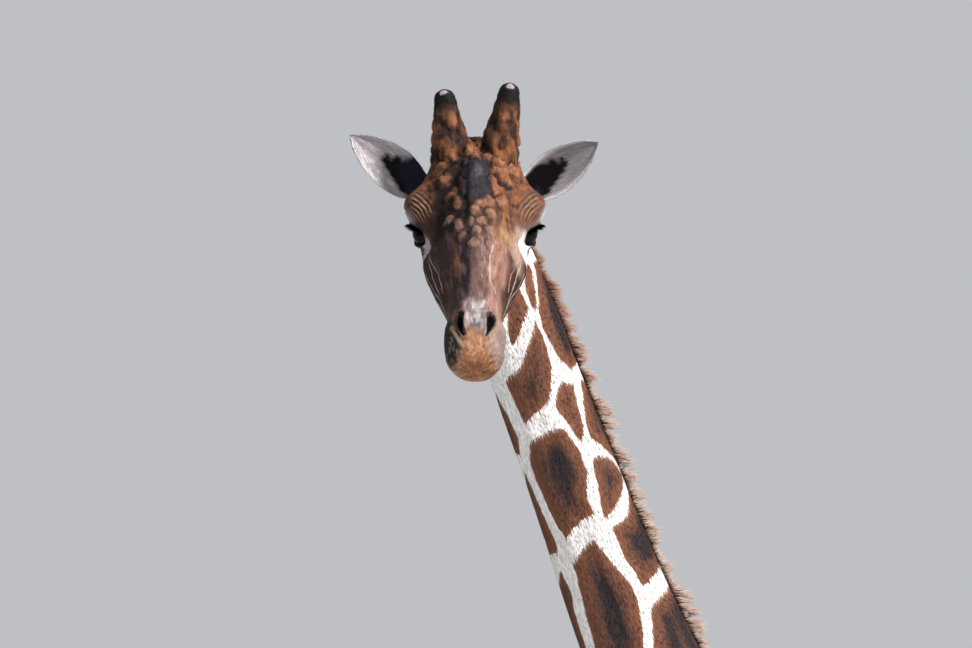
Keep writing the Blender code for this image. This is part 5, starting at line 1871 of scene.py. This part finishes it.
iris, tree, surface = new_material("iris", (0.02, 0.01, 0.01))
gaze = stored("gaze", "Vector")
gaze_parts = parts(gaze)
pupil_far = from_middle_of_eye(times(gaze_parts[1], 1.5), times(gaze_parts[2], 3.0))
iris_far = from_middle_of_eye(gaze_parts[1], gaze_parts[2])
iris_colour = blend(noise(gaze, 14.0, 3.0), shade(12, 8, 7), shade(34, 22, 17))
eye_colour = blend(between(pupil_far, 0.72, 0.88), (0.002, 0.002, 0.003), iris_colour)
eye_colour = blend(between(iris_far, 0.66, 0.80), eye_colour, shade(12, 10, 12))
plug(surface, {"Base Color": eye_colour, "Roughness": 0.12, "Specular IOR Level": 0.15, "IOR": 1.3})
plug(surface, {"Coat Weight": 0.18, "Coat Roughness": 0.03, "Coat IOR": 1.38})
for name, outward in (("left", LEFTWARD), ("right", -LEFTWARD)):
    rings, directions = ball(box_middle("eye_" + name), outward, EYE_RADIUS * 0.985 / (1 + DOME))
    points, triangles = tube_faces(rings)
    eye = solid(f"eye_{name}_ball", points, triangles, iris, "eye", ["eye_" + name])
    eye.data.shade_smooth()
    gaze_there = np.concatenate((directions.reshape(-1, 3), ((1, 0, 0), (-1, 0, 0))))
    store(eye, gaze=gaze_there)
print("eyes", EYE_RADIUS * 2000, "mm across")

# %% [markdown]
# ## Long hair
#
# Lashes, mane and tail tuft are long hair. Each is a set of locks: a lock is a slim three-sided
# spike carried along a curve that starts at its root and bends as it goes. All locks of a piece
# are one array, roots by steps along the lock by the three sides.

# %% Growing locks
def locks(roots, ways, bends, lengths, thick, steps, seed, wave=0.0):
    """Points and triangles of many spikes: each starts along its way and is bent by its bend."""
    rng = np.random.default_rng(seed)
    count = len(roots)
    t = np.linspace(0, 1, steps + 1)
    ways = unit(ways)
    bent = t[:, None] * ways[:, None] + (t**2)[:, None] * bends[:, None]
    path = roots[:, None] + lengths[:, None, None] * bent
    first = unit(np.cross(ways, rng.standard_normal((count, 3))))
    second = np.cross(ways, first)
    sway = np.sin(t * 5 + rng.uniform(0, 6.3, (count, 1))) * t
    path = path + first[:, None] * (wave * lengths[:, None] * sway)[..., None]
    width = thick[:, None] * (1 - t[:-1] ** 1.6 * 0.85)
    corner = np.arange(3) * 2 * np.pi / 3
    cos, sin = np.cos(corner)[:, None], np.sin(corner)[:, None]
    ring = cos * first[:, None, None] + sin * second[:, None, None]
    body = path[:, :-1, None] + ring * width[..., None, None]
    points = np.concatenate((body.reshape(count, -1, 3), path[:, -1:]), axis=1)
    faces = [(0, 2, 1)]
    for step in range(steps - 1):
        for k in range(3):
            low, next_low = 3 * step + k, 3 * step + (k + 1) % 3
            faces += [(low, next_low, next_low + 3), (low, next_low + 3, low + 3)]
    top = 3 * (steps - 1)
    faces += [(top + k, top + (k + 1) % 3, 3 * steps) for k in range(3)]
    faces = np.array(faces)
    each = points.shape[1]
    triangles = (faces + (np.arange(count) * each)[:, None, None]).reshape(-1, 3)
    a, b, c = (points[0][faces[:, i]] - points[0].mean(axis=0) for i in range(3))
    if np.einsum("ij,ij->", a, np.cross(b, c)) < 0:
        triangles = triangles[:, ::-1]
    along = np.concatenate((np.repeat(t[:-1], 3), [1.0]))
    return points.reshape(-1, 3), triangles, along, len(faces)


def set_locks(name, slot, root_colours, tip_colours, shape, places, replaced=(), tip_from=0.4, seed=1):
    """Make the piece and paint each lock from its root colour to its tip colour."""
    points, triangles, along, faces_each = shape
    count = len(root_colours)
    rng = np.random.default_rng(seed)
    piece = solid(name, points, triangles, coat, slot, replaced)
    to_tip = ease(tip_from, 1.0, along)[None, :, None]
    colours = root_colours[:, None] * (1 - to_tip) + tip_colours[:, None] * to_tip
    painted = np.concatenate((colours, np.ones((*colours.shape[:2], 1))), axis=2)
    store(piece, paint=painted)
    store(piece, strand=strands(count, along, rng))
    none = np.zeros(len(points))
    store(piece, edge=none, tone=none, vein=none + 0.03)
    place_map(piece, places, faces_each)
    print(name, count, "locks")
    return piece


# %% Mane
MANE_AT = (0.04, 0.10, 0.30, 0.80, 1.30, 1.60, 1.78)
MANE_HEIGHT = mm(20, 36, 44, 50, 54, 42, 18)
MANE_HALF_WIDTH = mm(16, 21, 25, 28, 29, 26, 18)
MANE_LOCKS = 15000
rng = np.random.default_rng(201)
at = rng.uniform(MANE_AT[0], MANE_AT[-1], MANE_LOCKS)
centre, down, left, nape = neck_frames(at)
across = rng.uniform(-1, 1, MANE_LOCKS) * 0.86
aside = across * flow(MANE_AT, MANE_HALF_WIDTH, at)
rise = flow(NECK_SIZE_AT, NECK_NAPE, at) - COAT_DEPTH
width = flow(NECK_SIZE_AT, NECK_HALF_WIDTH, at)
height_there = rise * (1 - np.abs(aside / width) ** NECK_POWER) ** (1 / NECK_POWER) - 0.003
roots = centre + left * aside[:, None] + nape * height_there[:, None]
clump = lumps(np.stack((at, across * 0.010, at * 0), axis=1), 0.016, 61)
tall = flow(MANE_AT, MANE_HEIGHT, at) * np.sqrt(np.clip(1 - across**2, 0.05, 1)) + 0.006
tall = tall * (0.76 + 0.42 * clump) * rng.uniform(0.62, 1.0, MANE_LOCKS)
sideways = across * 0.35 + 0.16 * rng.standard_normal(MANE_LOCKS) + 0.12 * clump
leaning = 0.05 + 0.12 * rng.standard_normal(MANE_LOCKS) + 0.45 * clump
ways = nape + left * sideways[:, None] + down * leaning[:, None]
bends = -left * (sideways * 0.3)[:, None] + down * 0.12
shape = locks(roots, ways, bends, tall, rng.uniform(0.0007, 0.0012, MANE_LOCKS), 2, 202)
mane_root = mix(shade(128, 78, 58), shade(176, 146, 131), ease(0.15, 0.9, at))
mane_root = mane_root * rng.uniform(0.7, 1.15, (MANE_LOCKS, 1))
pale = rng.uniform(0.25, 1.0, (MANE_LOCKS, 1)) ** 1.2
pale = pale * (0.40 + 0.60 * ease(0.1, 0.5, at))[:, None]
mane_tip = shade(160, 106, 82) * (1 - pale) + shade(234, 220, 211) * pale
places = unwrapped(np.stack((at, across * 0.48 + 0.5), axis=1), 0, 1)
mane = set_locks("mane_brush", "mane_hair", mane_root, mane_tip, shape, places, ["mane"], 0.20, 203)
store(mane, under=np.repeat(unit(nape + 1.2 * left * sideways[:, None]), len(shape[2]), axis=0))

# %% Tail tuft
TUFT_FROM, TUFT_TO = 0.80, 0.95
TAIL_LOCKS = 2200
rng = np.random.default_rng(211)
at = rng.uniform(TUFT_FROM, TUFT_TO, TAIL_LOCKS)
angle = rng.uniform(0, 2 * np.pi, TAIL_LOCKS)
centre, down, left, back = tail_frames(np.minimum(at, TAIL_ROPE_END))
ring_way = np.sin(angle)[:, None] * left + np.cos(angle)[:, None] * back
roots = centre + ring_way * 0.011
long = rng.uniform(0.22, 0.60, TAIL_LOCKS)
long = np.minimum(long, 1.46 - at)
ways = down + ring_way * rng.uniform(0.02, 0.13, TAIL_LOCKS)[:, None]
bends = -ring_way * 0.05 + 0.025 * rng.standard_normal((TAIL_LOCKS, 3))
shape = locks(roots, ways, bends, long, rng.uniform(0.0012, 0.0022, TAIL_LOCKS), 6, 212, wave=0.018)
dark = np.tile(shade(38, 30, 30), (TAIL_LOCKS, 1)) * rng.uniform(0.5, 1.3, (TAIL_LOCKS, 1))
places = unwrapped(np.stack((at, angle / (2 * np.pi)), axis=1), 0, 1)
set_locks("tail_locks", "tail_hair", dark, dark * 1.2, shape, places, ["tail_tuft"], 0.3, 213)

# %% Lashes
LASHES = 220
rng = np.random.default_rng(221)
lash_sets = []
for side_sign in (1, -1):
    turn = np.linspace(math.radians(30), math.radians(165), LASHES) + rng.uniform(-0.02, 0.02, LASHES)
    cos, sin = math.cos(EYE_TILT), math.sin(EYE_TILT)
    length, height = EYE_HALF_LENGTH * 1.04 * np.cos(turn), EYE_HALF_HEIGHT * 1.04 * np.sin(turn)
    along = length * cos - height * sin + EYE_FORWARD
    up = length * sin + height * cos
    out = side_sign * ball_cap(np.hypot(along, up), EYE_RADIUS + LID_THICK * 0.7)
    roots = head_place(along, out, up)
    ways = LEFTWARD * side_sign * 1.0 + UPRIGHT * 0.06 + FORWARD * (0.35 * np.cos(turn) + 0.15)[:, None]
    ways = ways + 0.07 * rng.standard_normal((LASHES, 3))
    bends = -UPRIGHT * 0.20
    long = (0.017 + 0.006 * np.sin(turn)) * rng.uniform(0.75, 1.1, LASHES)
    lash_sets.append((roots, ways, np.broadcast_to(bends, roots.shape), long))
roots, ways, bends, long = (np.concatenate(values) for values in zip(*lash_sets))
shape = locks(roots, ways, bends, long, rng.uniform(0.00045, 0.00070, len(roots)), 3, 222)
black = np.tile(PITCH, (len(roots), 1))
places = np.stack((np.tile(np.linspace(0.02, 0.98, LASHES), 2), np.repeat((0.1, 0.9), LASHES)), axis=1)
set_locks("lashes", "eye", black, black, shape, places, (), 0.5, 223)

# %% [markdown]
# ## Hooves
#
# A hoof is a box of horn, blunt in front, with faint rings of growth round it and a worn edge
# on the ground. Its sole is flat, because the animal rests on it.

# %% Build the hooves
TOE_HALF_WIDTH, TOE_HALF_LENGTH, TOE_LEAN, CLEFT = 0.048, 0.118, 0.022, 0.003
HOOF_LEVELS = (0.0, 0.012, 0.05, 0.09, 0.125)
HOOF_TAPER = (0.97, 1.0, 0.965, 0.90, 0.80)
HOOF_POWER = 2.4


def hoof_rings(leg, toe, levels, angle):
    """Level rings: an oval, flattened where it faces the other toe, ringed by growth."""
    x, y = leg_middle(leg, np.array([HOOF_TOP]))
    taper = flow(HOOF_LEVELS, HOOF_TAPER, levels)
    grown = 1 + 0.006 * np.sin(levels / 0.0085 * 2 * np.pi) * ease(0.0, 0.03, levels) - 0.006
    half_width, half_length = TOE_HALF_WIDTH * taper * grown, TOE_HALF_LENGTH * taper * grown
    across, along = oval(angle, half_width, half_length, half_length, HOOF_POWER)
    lean = TOE_LEAN * (1 - levels / HOOF_TOP)[:, None]
    inward = across - np.clip(along, 0, None) * 0.12 + TOE_HALF_WIDTH * 0.94
    px = x[0] + toe * (np.maximum(inward, 0.0) + CLEFT)
    z = np.broadcast_to(levels[:, None], across.shape)
    return np.stack((px, y[0] - lean - along, z), axis=-1) + PLACE * (1, 1, 0)


hoof_horn, tree, surface = new_material("hoof_horn", shade(78, 68, 60))
place = wire("ShaderNodeTexCoord", {})["Object"]
grain = noise(wire("ShaderNodeMapping", {"Vector": place, "Scale": (260, 260, 12)})[0], 1.0, 3.0)
growth = noise(wire("ShaderNodeMapping", {"Vector": place, "Scale": (10, 10, 240)})[0], 1.0)
horn_colour = blend(between(grain, 0.35, 0.7), shade(58, 50, 46), shade(98, 86, 76))
horn_colour = blend(times(growth, 0.5), horn_colour, shade(44, 38, 36))
horn_colour = blend(between(parts(place)[2], 0.03, 0.0), horn_colour, shade(112, 100, 90))
horn_bump = wire("ShaderNodeBump", {"Strength": 0.4, "Distance": 0.001, "Height": plus(grain, growth)})[0]
plug(surface, {"Base Color": horn_colour, "Normal": horn_bump, "Roughness": 0.5})
hoof_levels = np.concatenate(([0.0, 0.003], np.linspace(0.008, 0.1245, 56)))
for leg, (_, side_sign, _) in LEGS.items():
    for toe in (1, -1):
        where = "outer" if toe == side_sign else "inner"
        rings = hoof_rings(leg, toe, hoof_levels, even_round(72))
        points, triangles = tube_faces(rings)
        hoof_name = f"hoof_{leg}_{where}"
        hoof = solid(hoof_name + "_horn", points, triangles, hoof_horn, "hoof", [hoof_name])
        hoof.data.shade_smooth()
        hoof.data.set_sharp_from_angle(angle=math.radians(50))
print("hooves:", 2 * len(LEGS))

# %% [markdown]
# ## Floor, light and camera
#
# A plain pale floor with a soft sweep of light. The key light stands high to the right of the
# camera and a large fill keeps the shadows soft. The camera looks up a little at the head from
# far away, as a long lens does.

# %% Floor
FLOOR_SIZE = 60.0
floor_mesh = bpy.data.meshes.new("floor")
half = FLOOR_SIZE / 2
floor_corners = [(-half, -half, 0), (half, -half, 0), (half, half, 0), (-half, half, 0)]
floor_mesh.from_pydata(floor_corners, [], [(0, 1, 2, 3)])
floor = in_scene("floor", floor_mesh)
plaster, tree, surface = new_material("pale_floor", (0.72, 0.72, 0.70))
plug(surface, {"Base Color": (0.72, 0.72, 0.70, 1), "Roughness": 0.85})
floor_mesh.materials.append(plaster)

# %% Light
VIEW_TURN = math.radians(70)
world = bpy.data.worlds.new("pale_room")
world.use_nodes = True
world.node_tree.nodes["Background"].inputs["Color"].default_value = (0.86, 0.88, 0.92, 1)
world.node_tree.nodes["Background"].inputs["Strength"].default_value = 0.60
bpy.context.scene.world = world
RIGHT = np.array([math.cos(VIEW_TURN), math.sin(VIEW_TURN), 0.0])
NEARER = np.array([math.sin(VIEW_TURN), -math.cos(VIEW_TURN), 0.0])


def lamp(name, place, target, size, power, tint):
    """A square lamp that faces its target and isn't seen by the camera."""
    light = bpy.data.lights.new(name, "AREA")
    light.size = size
    light.energy = power
    light.color = tint
    lamp_object = in_scene(name, light)
    lamp_object.location = place
    lamp_object.rotation_euler = Vector(target - place).to_track_quat("-Z", "Y").to_euler()
    lamp_object.visible_camera = False
    return lamp_object


key_place = EYES + 7.0 * RIGHT + 5.5 * NEARER + (0, 0, 6.5)
fill_place = EYES - 6.0 * RIGHT + 8.0 * NEARER + (0, 0, 1.0)
lamp("key", key_place, EYES, size=1.8, power=2150, tint=(1.0, 0.95, 0.89))
lamp("fill", fill_place, EYES - (0, 0, 1.5), size=6.0, power=60, tint=(0.88, 0.93, 1.0))
print("lights placed round", EYES.round(2))

# %% Camera
VIEW_RISE = math.radians(-4)
VIEW_FAR = 30.0
VIEW_WIDTH = 2.029
AIM_RIGHT, AIM_DOWN = 0.023, 0.188
camera = bpy.data.cameras.new("camera")
camera.sensor_width = 36.0
camera.lens = camera.sensor_width * VIEW_FAR / VIEW_WIDTH
camera.clip_end = 200.0
toward_camera = math.cos(VIEW_RISE) * NEARER + math.sin(VIEW_RISE) * UPRIGHT
screen_up = np.cross(toward_camera, RIGHT)
aim = EYES + AIM_RIGHT * RIGHT - AIM_DOWN * screen_up
camera_object = in_scene("camera", camera)
camera_object.location = aim + VIEW_FAR * toward_camera
camera_object.rotation_euler = Vector(-toward_camera).to_track_quat("-Z", "Y").to_euler()
bpy.context.scene.camera = camera_object
bpy.context.scene.view_settings.view_transform = "Standard"
print("camera at", camera_object.location)
